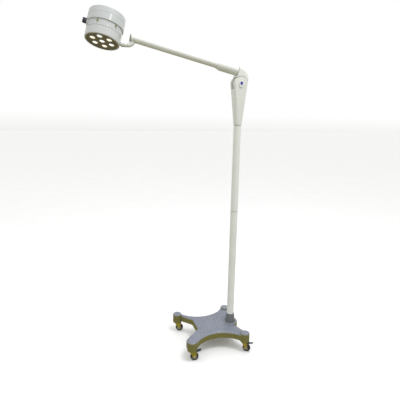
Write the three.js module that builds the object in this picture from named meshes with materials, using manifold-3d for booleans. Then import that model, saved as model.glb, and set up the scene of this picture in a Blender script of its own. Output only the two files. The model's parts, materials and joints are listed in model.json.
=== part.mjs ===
// A mobile LED surgical light: a cast base on four swivel casters, a two-piece pole, a tapered column head
// that turns on the pole, a spring-balanced arm, and a round seven-lens lamp head on a bent bracket tube.
// Millimetres, +Z up. Z is 0 where the tyres touch the floor, and X and Y are 0 at the middle of the light's box.

import * as THREE from "three";
import { mergeVertices } from "three/addons/utils/BufferGeometryUtils.js";
import Module from "manifold-3d";

const wasm = await Module();
wasm.setup();

// Fits
const GAP = 0.3; // between pieces that touch
const RUN = 0.06; // between a bore's flats and a shaft that turns in it
const ROUND = 20; // sides of a turned piece
const SMALL_ROUND = 12;
const LARGE_ROUND = 32; // sides of the lamp head's shells // sides of a small turned piece

// Place of the pole's axis
const POLE_X = 382.74;
const POLE_Y = 9.74;

// Base casting, measured from the middle of its four feet
const BASE_X = -138; // middle of the feet, from the pole's axis
const FOOT_REACH = 168;
const FOOT_R = 28;
const FOOT_BOTTOM = 62;
const FOOT_TOP = 120;
const WEB_BOTTOM = 72;
const WEB_TOP = 110;
const WEB_EDGE = 9; // rounding of the web's top edge
const WEB_WALL = 10;
const WEB_ROOF = 11;
const RIB = 8;
const LONG_SIDE = 108; // nearest points of the concave sides to the middle of the feet
const POLE_SIDE = 150;
const NOTCH_X = -90; // the straight back of the notch between the two left feet
const NOTCH_REAR = 80;
const NOTCH_FRONT = -31;
const NOTCH_R = 25;
const SHOULDER_AT = -129; // where the notch's front edge would meet the front foot's left side
const SHOULDER_R = 45;
const REAR_LEFT = 1; // feet counted anticlockwise from the rear right one
const FRONT_LEFT = 2;
const BOSS_R = 46;
const BOSS_TOP = 114;
const BOLT_R = 6.4;
const BOLT_HEAD_R = 12;
const BOLT_HEAD = 8;
const STEM_R = 5;
const STEM_TOP = 95;

// Casters
const WHEEL_R = 24;
const TRAIL = 14;
const HUB_R = 15;
const AXLE_R = 3;
const FORK_INSIDE = 11.8; // half the gap between a fork's legs
const FORK_OUTSIDE = 14;
const CROWN_BOTTOM = 52;
const CROWN_TOP = 57.4;
const PEDAL_X = 20;
const PEDAL_Z = 54.5;
const PEDAL_PIN_R = 2.5;
const CASTERS = [
  { name: "front_left", x: -1, y: -1, heading: -12, brake: true },
  { name: "front_right", x: 1, y: -1, heading: -50, brake: true },
  { name: "rear_left", x: -1, y: 1, heading: -25, brake: false },
  { name: "rear_right", x: 1, y: 1, heading: -20, brake: false },
];

// Socket and pole
const SOCKET_R = 30.5;
const SOCKET_TOP_R = 24.5;
const SOCKET_TOP = 168;
const SOCKET_FLOOR = 10;
const POLE_R = 21.5;
const POLE_WALL = 2;
const POLE_JOINT = 842;
const POLE_TOP = 1351;
const COUPLER_HALF = 80;

// Column head
const HEAD_BOTTOM = 1354.6;
const HEAD_BOTTOM_R = 23.5;
const SHOULDER_Z = 1548;
const SHOULDER_X = 37;
const SHOULDER_Y = 33;
const CHEEK_CORNER = 8;
const CHEEK_R = 41;
const CHEEK_Y = 34;
const SLOT_HALF = 17;
const SLOT_BOTTOM = 1552;
const PIVOT_Z = 1579;
const PIVOT_R = 6;
const SPINDLE_R = 12;
const SPINDLE_TOP = 1437;
const BUSH_R = 14.9;
const BUSH_TOP = 1439;
const CAVITY_X = -12.5;
const CAVITY_R = 12;
const CAVITY_BOTTOM = 1446;

// Balance rod and spring
const LINK_REACH = 14; // from the pivot to the link pin
const LINK_R = 3;
const ROD_R = 3.5;
const ROD_LENGTH = 105;
const COLLAR_DROP = 48; // from the link pin down to the top of the spring collar
const COLLAR_R = 9.5;
const COLLAR = 4;
const SPRING_R = 9.2;
const SPRING_WIRE = 1.2;
const SPRING_TURNS = 8;
const STEPS_PER_TURN = 8;

// Arm, measured along its own axis from the pivot
const ARM_PITCH = 12.4;
const ARM_HEIGHT = 66.8; // arm axis above the pivot
const SEAM = 30.3;
const SLEEVE_R = 27;
const SLEEVE_END = 134.5;
const SLEEVE_TIP = 158;
const ARM_R = 19;
const ARM_WALL = 2;
const ARM_START = 46;
const ARM_END = 634.5;
const LEG_AT = 618.5;
const RECESS_R = 43.5;
const HOOD_HALF = 32;
const HOOD_EDGE = 9;
const TONGUE_HALF = 16.5;
const TONGUE_R = 25;
const GROOVE_HALF = 5;

// Bent bracket tube and the universal joint of the lamp head
const BRACKET_R = 11.5;
const BRACKET_Z = 1745;
const BEND_R = 26;
const BRACKET_END_X = -622;
const TILT_PIN_X = -644.5;
const TILT_PIN_R = 3;
const STUD_R = 6;
const STUD = 10;
const EAR_INSIDE = 4.4;
const EAR_OUTSIDE = 11;
const EAR_R = 11;
const LUG_HALF = 4;
const LUG_R = 8.5;
const HEAD_ROLL = -14.2;
const HEAD_TILT = 14.3;

// Lamp head, measured from the middle of its face
const RING_R = 86.5;
const RING_TOP = 42;
const FACE_R = 79;
const SHELL = 3;
const WAIST_R = 87;
const WAIST_TOP = 78;
const COVER_R = 91.5;
const COVER_RIM = 74;
const COVER_TOP = 140;
const TIER_Z = 109;
const LUG_Z = 20;
const LUG_X = 100.5;
const LENS_R = 13;
const LENS_RING = 48.5;
const LENS_ANGLE = 11.5;
const LENS_COUNT = 6; // round the middle one
const DIMMER_ANGLE = 184;
const DIMMER_Z = 76;
const DIMMER_R = 20;
const DIMMER_FRONT = 90; // from the head's axis to the front of the boss
const KNOB_R = 15;
const KNOB_LENGTH = 19.6;
const VENT_COUNT = 6;
const SEAM_ANGLE = 280.5;

const finish = (color, roughness, metalness) =>
  new THREE.MeshStandardMaterial({ color, roughness, metalness });

const CAST_GREY = finish(0x8890a0, 0.55, 0.3);
const DARK_CAST = finish(0x60646a, 0.6, 0.3);
const WHITE_PAINT = finish(0xd8dad2, 0.4, 0.1);
const LAMP_PAINT = finish(0xc8cbc8, 0.42, 0.1);
const ZINC = finish(0xb9bcc0, 0.35, 0.9);
const YELLOW_ZINC = finish(0xb3a340, 0.35, 0.85);
const BLACK_RUBBER = finish(0x1d1d1d, 0.85, 0);
const GREY_PLASTIC = finish(0x85887c, 0.6, 0);
const DARK_PLASTIC = finish(0x2a2f3a, 0.4, 0);
const WHITE_PLASTIC = finish(0xf0f0ec, 0.25, 0);
const BLUE_BADGE = finish(0x3c4c9c, 0.35, 0);
const OLIVE_PLATE = finish(0x57502f, 0.4, 0.4);
const CLEAR_LENS = finish(0xf8f8f4, 0.1, 0);
const BOARD = finish(0x2c6b3c, 0.5, 0);
const ALUMINIUM = finish(0xb0b3b5, 0.45, 0.9);
const BRONZE = finish(0x9a7a48, 0.4, 0.9);
const STEEL = finish(0x8f9296, 0.3, 1);

const radians = THREE.MathUtils.degToRad;

// ---- solids ----

// A closed geometry as a manifold, with its shared vertices merged and its faces pointing out.
function solidOf(geometry) {
  const bare = geometry.index ? geometry.toNonIndexed() : geometry.clone();
  bare.deleteAttribute("normal");
  bare.deleteAttribute("uv");
  const merged = mergeVertices(bare, 1e-4);
  const point = (i) => new THREE.Vector3().fromBufferAttribute(merged.attributes.position, i);
  const triangles = [];
  let volume = 0;
  for (let i = 0; i < merged.index.count; i += 3) {
    const [a, b, c] = [0, 1, 2].map((k) => merged.index.getX(i + k));
    if (a === b || b === c || c === a) continue;
    triangles.push([a, b, c]);
    volume += point(a).dot(point(b).cross(point(c)));
  }
  const facing = volume < 0 ? triangles.map(([a, b, c]) => [a, c, b]) : triangles;
  return new wasm.Manifold(
    new wasm.Mesh({
      numProp: 3,
      vertProperties: merged.attributes.position.array,
      triVerts: new Uint32Array(facing.flat()),
    }),
  );
}

function geometryOf(solid) {
  const { vertProperties, triVerts } = solid.getMesh();
  const geometry = new THREE.BufferGeometry();
  geometry.setAttribute("position", new THREE.BufferAttribute(vertProperties, 3));
  geometry.setIndex(new THREE.BufferAttribute(triVerts, 1));
  return geometry;
}

const join = (first, ...others) =>
  geometryOf(others.reduce((whole, other) => whole.add(solidOf(other)), solidOf(first)));
const cut = (first, ...others) =>
  geometryOf(others.reduce((whole, other) => whole.subtract(solidOf(other)), solidOf(first)));
const overlap = (first, second) => geometryOf(solidOf(first).intersect(solidOf(second)));

// A profile of [radius, height] points turned about Z. One that starts off the axis closes on itself.
function turned(profile, sides = ROUND) {
  const points = profile.map(([radius, height]) => new THREE.Vector2(radius, height));
  if (profile[0][0] > 0) points.push(points[0].clone());
  return geometryOf(solidOf(new THREE.LatheGeometry(points, sides).rotateX(Math.PI / 2)));
}

function rod(radius, from, to, sides = ROUND) {
  return turned([[0, from], [radius, from], [radius, to], [0, to]], sides);
}

// A tool that bores a running fit for a shaft: its flats stand clear of the shaft all round.
function runningBore(shaft, from, to, sides = ROUND) {
  return rod((shaft + RUN) / Math.cos(Math.PI / sides), from, to, sides);
}

function ring(inner, outer, from, to, sides = ROUND) {
  return turned([[inner, from], [outer, from], [outer, to], [inner, to]], sides);
}

// Turn a piece made about Z so that it lies along -X, +X or Y.
const alongMinusX = (geometry) => geometry.rotateY(-Math.PI / 2);
const alongX = (geometry) => geometry.rotateY(Math.PI / 2);
const alongY = (geometry) => geometry.rotateX(-Math.PI / 2);

function box(low, high) {
  const size = high.map((value, axis) => value - low[axis]);
  const middle = high.map((value, axis) => (value + low[axis]) / 2);
  return new THREE.BoxGeometry(...size).translate(...middle);
}

// A plan outline raised from one height to another, with its top and bottom edges rounded by `edge`.
function raised(outline, from, to, edge = 0, curveSegments = 4) {
  return new THREE.ExtrudeGeometry(outline, {
    depth: to - from - 2 * edge,
    bevelEnabled: edge > 0,
    bevelSize: edge,
    bevelThickness: edge,
    bevelOffset: -edge,
    bevelSegments: 2,
    curveSegments,
  }).translate(0, 0, from + edge);
}

// A side outline, drawn in X and Z, made into a slab between two values of Y.
const slab = (outline, from, to, edge = 0, curveSegments = 4) =>
  raised(outline, -to, -from, edge, curveSegments).rotateX(Math.PI / 2);

function polygon(points) {
  return new THREE.Shape(points.map(([x, y]) => new THREE.Vector2(x, y)));
}

// A skin through rings of equal point counts, closed by a flat fan at each end.
function loft(rings) {
  const count = rings[0].length;
  const points = rings.flat();
  const index = [];
  for (let level = 0; level + 1 < rings.length; level += 1) {
    for (let i = 0; i < count; i += 1) {
      const a = level * count + i;
      const b = level * count + ((i + 1) % count);
      index.push(a, b, b + count, a, b + count, a + count);
    }
  }
  const top = (rings.length - 1) * count;
  for (let i = 1; i + 1 < count; i += 1) {
    index.push(0, i + 1, i, top, top + i, top + i + 1);
  }
  return new THREE.BufferGeometry().setFromPoints(points).setIndex(index);
}

// A level rounded rectangle of half-sizes x and y.
function roundedRing(x, y, corner, z) {
  const steps = 4;
  const points = [];
  for (let quarter = 0; quarter < 4; quarter += 1) {
    const sideX = quarter === 0 || quarter === 3 ? 1 : -1;
    const sideY = quarter < 2 ? 1 : -1;
    for (let step = 0; step <= steps; step += 1) {
      const angle = ((quarter + step / steps) * Math.PI) / 2;
      points.push(
        new THREE.Vector3(
          sideX * (x - corner) + corner * Math.cos(angle),
          sideY * (y - corner) + corner * Math.sin(angle),
          z,
        ),
      );
    }
  }
  return points;
}

function tubeAlong(points, radius, steps, sides) {
  const section = new THREE.Shape().absarc(0, 0, radius, 0, 2 * Math.PI);
  return new THREE.ExtrudeGeometry(section, {
    extrudePath: new THREE.CatmullRomCurve3(points),
    steps,
    curveSegments: sides,
    bevelEnabled: false,
  });
}

function place(parent, name, geometry, material) {
  const mesh = new THREE.Mesh(geometry, material);
  mesh.name = name;
  parent.add(mesh);
}

function groupIn(parent, position = [0, 0, 0], rotation = [0, 0, 0]) {
  const group = new THREE.Group();
  group.position.set(...position);
  group.rotation.set(...rotation.map(radians));
  parent.add(group);
  return group;
}

// ---- base ----

// The circle of a concave side that touches the feet's circles and comes within `apex` of the middle.
function concaveSide(apex, turn) {
  const depth = FOOT_REACH - apex;
  const radius = (FOOT_REACH ** 2 + depth ** 2 - FOOT_R ** 2) / (2 * (depth + FOOT_R));
  const centre = new THREE.Vector2(apex + radius, 0).rotateAround(new THREE.Vector2(), turn);
  return { radius, centre };
}

// Corners (x, y, fillet) of the notch, from the middle of the rear left foot to the front left foot's side.
const NOTCH = [
  [-FOOT_REACH, FOOT_REACH, 0],
  [NOTCH_X, NOTCH_REAR, NOTCH_R],
  [NOTCH_X, NOTCH_FRONT, NOTCH_R],
  [-FOOT_REACH - FOOT_R, SHOULDER_AT, SHOULDER_R],
  [-FOOT_REACH - FOOT_R, -FOOT_REACH, 0],
];

// Carries the plan along the notch, drawn in by `inset` towards the left of the way it runs.
function addNotch(plan, inset) {
  const corners = NOTCH.map(([x, y]) => new THREE.Vector2(x, y));
  const ways = corners.slice(1).map((corner, i) => corner.clone().sub(corners[i]).normalize());
  const inwards = ways.map((way) => new THREE.Vector2(-way.y, way.x));
  const first = corners[0].clone().addScaledVector(inwards[0], inset);
  plan.lineTo(first.x, first.y);
  for (let i = 1; i < ways.length; i += 1) {
    const [before, after] = [ways[i - 1], ways[i]];
    const miter = inwards[i - 1].clone().add(inwards[i]).divideScalar(1 + before.dot(after));
    const corner = corners[i].clone().addScaledVector(miter, inset);
    const turn = before.cross(after) < 0 ? 1 : -1;
    const half = before.angleTo(after) / 2;
    const tangent = (NOTCH[i][2] + turn * inset) * Math.tan(half);
    const start = corner.clone().addScaledVector(before, -tangent);
    const end = corner.clone().addScaledVector(after, tangent);
    plan.lineTo(start.x, start.y);
    plan.quadraticCurveTo(corner.x, corner.y, end.x, end.y);
  }
}

// The base's plan, or the same plan drawn in by `inset`: round feet joined by three concave sides and
// the notch, which starts under the rear left foot's own cylinder.
function basePlan(inset) {
  const side = (i) => concaveSide(i === 0 ? POLE_SIDE : LONG_SIDE, (i * Math.PI) / 2);
  const foot = (i) =>
    new THREE.Vector2(FOOT_REACH, FOOT_REACH).rotateAround(new THREE.Vector2(), (i * Math.PI) / 2);
  const bearing = (from, to) => Math.atan2(to.y - from.y, to.x - from.x);
  const plan = new THREE.Shape();
  for (let i = 0; i < 4; i += 1) {
    if (i === REAR_LEFT) {
      addNotch(plan, inset);
      continue;
    }
    const here = foot(i);
    const next = side((i + 1) % 4);
    const start = i === FRONT_LEFT ? Math.PI : bearing(here, side(i).centre);
    const end = bearing(here, next.centre);
    plan.absarc(here.x, here.y, FOOT_R - inset, start, end, false);
    plan.absarc(
      next.centre.x,
      next.centre.y,
      next.radius + inset,
      end + Math.PI,
      bearing(next.centre, foot(i + 1)),
      true,
    );
  }
  return plan;
}

const footPlaces = () =>
  CASTERS.map(({ x, y }) => [BASE_X + x * FOOT_REACH, y * FOOT_REACH]);

function baseCasting() {
  const web = raised(basePlan(0), WEB_BOTTOM - 2 * WEB_EDGE, WEB_TOP, WEB_EDGE);
  const below = box([-300, -300, 0], [300, 300, WEB_BOTTOM]);
  const boss = turned([
    [0, WEB_BOTTOM],
    [BOSS_R, WEB_BOTTOM],
    [BOSS_R, WEB_TOP - 1],
    [BOSS_R - 3, BOSS_TOP - 1],
    [BOSS_R - 6, BOSS_TOP],
    [0, BOSS_TOP],
  ]);
  const hollow = cut(
    raised(basePlan(WEB_WALL), WEB_BOTTOM - 5, WEB_TOP - WEB_ROOF),
    rod(BOSS_R, 0, WEB_TOP, SMALL_ROUND).translate(-BASE_X, 0, 0),
    box([-200, -RIB / 2, 0], [200, RIB / 2, WEB_TOP]),
    box([-RIB / 2, -200, 0], [RIB / 2, 200, WEB_TOP]),
    ...CASTERS.map(({ x, y }) =>
      rod(FOOT_R, 0, WEB_TOP, SMALL_ROUND).translate(x * FOOT_REACH, y * FOOT_REACH, 0),
    ),
  );
  const shell = cut(web, below, hollow).translate(BASE_X, 0, 0);
  const feet = footPlaces().map(([x, y]) =>
    turned([
      [0, FOOT_BOTTOM],
      [FOOT_R, FOOT_BOTTOM],
      [FOOT_R, FOOT_TOP - 8],
      [FOOT_R - 2.3, FOOT_TOP - 2.3],
      [FOOT_R - 8, FOOT_TOP],
      [0, FOOT_TOP],
    ]).translate(x, y, 0),
  );
  const stemBores = footPlaces().map(([x, y]) =>
    rod(STEM_R + GAP, 0, STEM_TOP + 1, SMALL_ROUND).translate(x, y, 0),
  );
  const boltBore = rod(BOLT_R + GAP, 0, BOSS_TOP + 1, SMALL_ROUND);
  const headBore = rod(BOLT_HEAD_R + 2, 0, WEB_BOTTOM + 12, SMALL_ROUND);
  return cut(join(shell, boss, ...feet), ...stemBores, boltBore, headBore);
}

function buildBase(parent) {
  place(parent, "base_casting", baseCasting(), CAST_GREY);
  const headTop = WEB_BOTTOM + 12 - GAP;
  const socketBottom = BOSS_TOP + GAP;
  const floor = socketBottom + SOCKET_FLOOR;
  const bolt = join(
    rod(BOLT_HEAD_R, headTop - BOLT_HEAD, headTop, 6),
    rod(BOLT_R, headTop - 1, floor - 1, SMALL_ROUND),
  );
  place(parent, "base_bolt", bolt, STEEL);
  const socket = turned([
    [BOLT_R + GAP, socketBottom],
    [SOCKET_R, socketBottom],
    [SOCKET_R, socketBottom + 4],
    [SOCKET_TOP_R, SOCKET_TOP - 2],
    [SOCKET_TOP_R - 1, SOCKET_TOP],
    [POLE_R + GAP, SOCKET_TOP],
    [POLE_R + GAP, floor],
    [BOLT_R + GAP, floor],
  ]);
  place(parent, "pole_socket", socket, DARK_CAST);
}

// ---- casters ----

function casterStem() {
  return turned(
    [
      [0, CROWN_BOTTOM - 3],
      [7.5, CROWN_BOTTOM - 3],
      [7.5, CROWN_BOTTOM - GAP],
      [STEM_R, CROWN_BOTTOM - GAP],
      [STEM_R, CROWN_TOP + GAP],
      [15, CROWN_TOP + GAP],
      [15, FOOT_BOTTOM - GAP],
      [STEM_R, FOOT_BOTTOM - GAP],
      [STEM_R, STEM_TOP],
      [0, STEM_TOP],
    ],
    SMALL_ROUND,
  );
}

function forkLegOutline() {
  const outline = new THREE.Shape();
  outline.moveTo(-11, CROWN_TOP);
  outline.lineTo(-11, 50);
  outline.lineTo(TRAIL - 8, WHEEL_R);
  outline.absarc(TRAIL, WHEEL_R, 8, Math.PI, 2 * Math.PI, false);
  outline.lineTo(PEDAL_X + 6, PEDAL_Z);
  outline.absarc(PEDAL_X, PEDAL_Z, 5, 0, Math.PI / 2, false);
  outline.lineTo(12, CROWN_TOP);
  return outline;
}

function casterFork(brake) {
  const legs = [-FORK_OUTSIDE, FORK_INSIDE].map((from) =>
    slab(forkLegOutline(), from, from + FORK_OUTSIDE - FORK_INSIDE, 0, 3),
  );
  const crown = rod(15, CROWN_BOTTOM, CROWN_TOP, SMALL_ROUND);
  const holes = [
    runningBore(STEM_R, 0, FOOT_TOP, SMALL_ROUND),
    alongY(rod(AXLE_R + GAP, -20, 20, 12)).translate(TRAIL, 0, WHEEL_R),
  ];
  if (brake) {
    holes.push(alongY(runningBore(PEDAL_PIN_R, -20, 20, 12)).translate(PEDAL_X, 0, PEDAL_Z));
  }
  return cut(join(crown, ...legs), ...holes);
}

function casterAxle() {
  const end = FORK_OUTSIDE + GAP;
  return turned(
    [
      [0, -end - 2.2],
      [5, -end - 2.2],
      [5, -end],
      [AXLE_R, -end],
      [AXLE_R, end],
      [5, end],
      [5, end + 2.2],
      [0, end + 2.2],
    ],
    12,
  );
}

function casterHub() {
  const wheel = turned(
    [
      [0, -10.5],
      [7, -10.5],
      [7, -7],
      [HUB_R, -8.5],
      [HUB_R, 8.5],
      [7, 7],
      [7, 10.5],
      [0, 10.5],
    ],
    SMALL_ROUND,
  );
  return cut(wheel, runningBore(AXLE_R, -20, 20, 12));
}

function casterTyre() {
  return turned([
    [HUB_R + GAP, -8.5],
    [WHEEL_R - 3, -9],
    [WHEEL_R, -5],
    [WHEEL_R, 5],
    [WHEEL_R - 3, 9],
    [HUB_R + GAP, 8.5],
  ]);
}

function brakePedal() {
  const plate = polygon([
    [PEDAL_X - 1, PEDAL_Z - 2],
    [PEDAL_X + 6, PEDAL_Z - 7],
    [PEDAL_X + 9, PEDAL_Z - 6],
    [PEDAL_X + 9, PEDAL_Z],
    [PEDAL_X + 30, PEDAL_Z + 8.5],
    [PEDAL_X + 34, PEDAL_Z + 8],
    [PEDAL_X + 34, PEDAL_Z + 11.5],
    [PEDAL_X + 29, PEDAL_Z + 12],
    [PEDAL_X + 8, PEDAL_Z + 4],
    [PEDAL_X - 1, PEDAL_Z + 2],
  ]);
  const hub = alongY(rod(3.4, 0.5 - FORK_INSIDE, FORK_INSIDE - 0.5, 12));
  const trunnions = alongY(rod(PEDAL_PIN_R, -FORK_OUTSIDE, FORK_OUTSIDE, 12));
  return join(
    slab(plate, -9.5, 9.5),
    hub.translate(PEDAL_X, 0, PEDAL_Z),
    trunnions.translate(PEDAL_X, 0, PEDAL_Z),
  );
}

function buildCaster(parent, { name, x, y, heading, brake }) {
  const foot = groupIn(parent, [BASE_X + x * FOOT_REACH, y * FOOT_REACH, 0]);
  place(foot, "caster_stem_" + name, casterStem(), ZINC);
  const swivel = groupIn(foot, [0, 0, 0], [0, 0, heading]);
  place(swivel, "caster_fork_" + name, casterFork(brake), YELLOW_ZINC);
  const wheel = groupIn(swivel, [TRAIL, 0, WHEEL_R], [-90, 0, 0]);
  place(wheel, "caster_axle_" + name, casterAxle(), ZINC);
  place(wheel, "caster_hub_" + name, casterHub(), GREY_PLASTIC);
  place(wheel, "caster_tyre_" + name, casterTyre(), BLACK_RUBBER);
  if (brake) place(swivel, "brake_pedal_" + name, brakePedal(), DARK_PLASTIC);
}

// ---- pole ----

function buildPole(parent) {
  const inner = POLE_R - POLE_WALL;
  const floor = BOSS_TOP + GAP + SOCKET_FLOOR + GAP;
  place(parent, "lower_pole", ring(inner, POLE_R, floor, POLE_JOINT - GAP / 2), WHITE_PAINT);
  place(parent, "upper_pole", ring(inner, POLE_R, POLE_JOINT + GAP / 2, POLE_TOP), WHITE_PAINT);
  const coupler = ring(inner - GAP - 3, inner - GAP, POLE_JOINT - COUPLER_HALF, POLE_JOINT + COUPLER_HALF);
  place(parent, "pole_coupler", coupler, STEEL);

  const spigot = turned([
    [0, POLE_TOP - 60],
    [inner - GAP, POLE_TOP - 60],
    [inner - GAP, POLE_TOP + GAP],
    [POLE_R, POLE_TOP + GAP],
    [POLE_R, HEAD_BOTTOM - GAP],
    [SPINDLE_R, HEAD_BOTTOM - GAP],
    [SPINDLE_R, SPINDLE_TOP],
    [0, SPINDLE_TOP],
  ]);
  place(parent, "top_spigot", spigot, STEEL);
}

// ---- column head ----

function columnHead() {
  const levels = [0, 1 / 3, 2 / 3, 1].map((t) =>
    roundedRing(
      THREE.MathUtils.lerp(HEAD_BOTTOM_R, SHOULDER_X, t),
      THREE.MathUtils.lerp(HEAD_BOTTOM_R, SHOULDER_Y, t),
      THREE.MathUtils.lerp(HEAD_BOTTOM_R, CHEEK_CORNER, t),
      THREE.MathUtils.lerp(HEAD_BOTTOM, SHOULDER_Z, t),
    ),
  );
  levels.push(roundedRing(CHEEK_R, CHEEK_Y, CHEEK_CORNER, PIVOT_Z));
  levels.push(roundedRing(CHEEK_R, CHEEK_Y, CHEEK_CORNER, PIVOT_Z + CHEEK_R + 1));
  const keyhole = polygon([
    [-CHEEK_R, PIVOT_Z],
    [-60, PIVOT_Z],
    [-60, HEAD_BOTTOM - 10],
    [60, HEAD_BOTTOM - 10],
    [60, PIVOT_Z],
    [CHEEK_R, PIVOT_Z],
  ]).absarc(0, PIVOT_Z, CHEEK_R, 0, Math.PI, false);
  const body = overlap(loft(levels), slab(keyhole, -60, 60, 0, 10));
  return cut(
    body,
    box([-60, -SLOT_HALF, SLOT_BOTTOM], [60, SLOT_HALF, PIVOT_Z + 60]),
    rod(CAVITY_R, CAVITY_BOTTOM, SLOT_BOTTOM + 1, SMALL_ROUND).translate(CAVITY_X, 0, 0),
    rod(BUSH_R + GAP, HEAD_BOTTOM - 1, BUSH_TOP + 1, 24),
    alongY(rod(PIVOT_R + GAP, -50, 50, 24)).translate(0, 0, PIVOT_Z),
  );
}

function pivotPin() {
  return turned(
    [
      [0, -CHEEK_Y + 0.5],
      [PIVOT_R, -CHEEK_Y + 0.5],
      [PIVOT_R, CHEEK_Y + GAP],
      [15, CHEEK_Y + GAP],
      [15, CHEEK_Y + 2.5],
      [12, CHEEK_Y + 4],
      [0, CHEEK_Y + 4],
    ],
    24,
  );
}

function pivotBadge() {
  const oval = new THREE.Shape().absellipse(0, 0, 14, 18.5, 0, 2 * Math.PI);
  return slab(oval, -CHEEK_Y - 3, -CHEEK_Y - GAP, 0.8, 10);
}

function balanceSpring(bottom, top) {
  const steps = SPRING_TURNS * STEPS_PER_TURN;
  const points = [];
  for (let i = 0; i <= steps; i += 1) {
    const angle = (i / STEPS_PER_TURN) * 2 * Math.PI;
    points.push(
      new THREE.Vector3(
        CAVITY_X + SPRING_R * Math.cos(angle),
        SPRING_R * Math.sin(angle),
        THREE.MathUtils.lerp(bottom, top, i / steps),
      ),
    );
  }
  return tubeAlong(points, SPRING_WIRE, steps, 2);
}

function balanceRod() {
  const eye = alongY(rod(7, 0.8 - GROOVE_HALF, GROOVE_HALF - 0.8, SMALL_ROUND));
  const pin = alongY(rod(LINK_R, -15.5, 15.5, SMALL_ROUND));
  const stem = turned(
    [
      [0, -ROD_LENGTH],
      [ROD_R, -ROD_LENGTH],
      [ROD_R, -COLLAR_DROP - COLLAR],
      [COLLAR_R, -COLLAR_DROP - COLLAR],
      [COLLAR_R, -COLLAR_DROP],
      [ROD_R, -COLLAR_DROP],
      [ROD_R, -2],
      [0, -2],
    ],
    SMALL_ROUND,
  );
  return join(stem, eye, pin);
}

function buildColumn(parent) {
  place(parent, "column_head", columnHead(), WHITE_PAINT);
  const bush = cut(rod(BUSH_R, HEAD_BOTTOM + 0.4, BUSH_TOP), runningBore(SPINDLE_R, HEAD_BOTTOM, BUSH_TOP + 1));
  place(parent, "swivel_bush", bush, BRONZE);
  const pivot = groupIn(parent, [0, 0, PIVOT_Z]);
  place(pivot, "pivot_pin", alongY(pivotPin()), STEEL);
  place(pivot, "pivot_badge", pivotBadge(), BLUE_BADGE);

  const pitch = radians(ARM_PITCH);
  const link = [-LINK_REACH * Math.cos(pitch), 0, LINK_REACH * Math.sin(pitch)];
  const rodGroup = groupIn(pivot, link);
  place(rodGroup, "balance_rod", balanceRod(), STEEL);
  const seat = CAVITY_BOTTOM + SPRING_WIRE + GAP;
  const collar = PIVOT_Z + link[2] - COLLAR_DROP - COLLAR - SPRING_WIRE - GAP;
  place(parent, "balance_spring", balanceSpring(seat, collar), STEEL);
}

// ---- arm ----

// The knuckle's domed back seen from the side, carried on past the flat end and down below the lip.
function domeOutline() {
  const outline = new THREE.Shape();
  outline.moveTo(43, -20);
  outline.lineTo(43, 18);
  outline.splineThru(
    [
      [42, 34],
      [36, 53],
      [26, 69],
      [11, 82],
      [-7, 90.5],
      [-SEAM, 93],
    ].map(([x, z]) => new THREE.Vector2(x, z)),
  );
  outline.lineTo(-60, 97);
  outline.lineTo(-60, -20);
  return outline;
}

// The hood is the part of the dome inside this outline: a flat end for the sleeve and a short lower lip.
const hoodLimit = () =>
  polygon([
    [60, 18],
    [60, 120],
    [-SEAM, 120],
    [-SEAM, ARM_HEIGHT - SLEEVE_R],
    [-33, 31],
    [-33, 20],
    [0, 8],
  ]);

function armKnuckle() {
  const dome = slab(domeOutline(), -HOOD_HALF, HOOD_HALF, HOOD_EDGE, 3);
  const hood = cut(overlap(dome, slab(hoodLimit(), -40, 40)), alongY(rod(RECESS_R, -40, 40, 40)));
  const tongue = join(
    alongY(rod(TONGUE_R, -TONGUE_HALF, TONGUE_HALF)),
    box([-24, -TONGUE_HALF, 0], [27, TONGUE_HALF, 60]),
  );
  const spigot = alongMinusX(rod(ARM_R - ARM_WALL - GAP, SEAM - 8, 95, 24)).translate(0, 0, ARM_HEIGHT);
  return cut(
    join(hood, tongue, spigot),
    box([-28, -GROOVE_HALF, -30], [9.5, GROOVE_HALF, 12]),
    alongY(runningBore(PIVOT_R, -40, 40)),
    alongY(runningBore(LINK_R, -40, 40, SMALL_ROUND)).translate(-LINK_REACH, 0, 0),
  );
}

function armSleeve() {
  return turned([
    [ARM_R + GAP, SEAM + GAP],
    [SLEEVE_R - 1, SEAM + GAP],
    [SLEEVE_R, SEAM + GAP + 1],
    [SLEEVE_R, SLEEVE_END],
    [ARM_R + 1.2, SLEEVE_TIP],
    [ARM_R + GAP, SLEEVE_TIP],
  ]);
}

// The tube has one hole underneath, with room for the bend that starts inside the arm.
const LEG_PLAY = 2.2;
const LEG_STRAIGHT = 11; // straight this far below the arm's axis

function armTube() {
  const legHole = rod(BRACKET_R + LEG_PLAY, -ARM_R - 5, -8, 24).translate(-LEG_AT, 0, 0);
  return cut(alongMinusX(ring(ARM_R - ARM_WALL, ARM_R, ARM_START, ARM_END)), legHole);
}

// The plug in the arm's end carries the bracket's leg in a stepped bore.
const LEG_SHOULDER = 4;
const LEG_NUT_SEAT = 8;
const LEG_NUT_R = 10.6;

function armEndPlug() {
  const plug = alongMinusX(
    turned([
      [0, 600],
      [ARM_R - ARM_WALL - GAP, 600],
      [ARM_R - ARM_WALL - GAP, ARM_END + GAP],
      [ARM_R, ARM_END + GAP],
      [ARM_R, ARM_END + 2],
      [ARM_R - 1, ARM_END + 3],
      [0, ARM_END + 3],
    ]),
  );
  return cut(
    plug,
    runningBore(BRACKET_R, -30, LEG_SHOULDER + GAP).translate(-LEG_AT, 0, 0),
    rod(BRACKET_R + LEG_PLAY, -30, -LEG_STRAIGHT, 24).translate(-LEG_AT, 0, 0),
    runningBore(STUD_R, 0, 20).translate(-LEG_AT, 0, 0),
    rod(LEG_NUT_R + 1.4, LEG_NUT_SEAT, 30).translate(-LEG_AT, 0, 0),
  );
}

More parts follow.
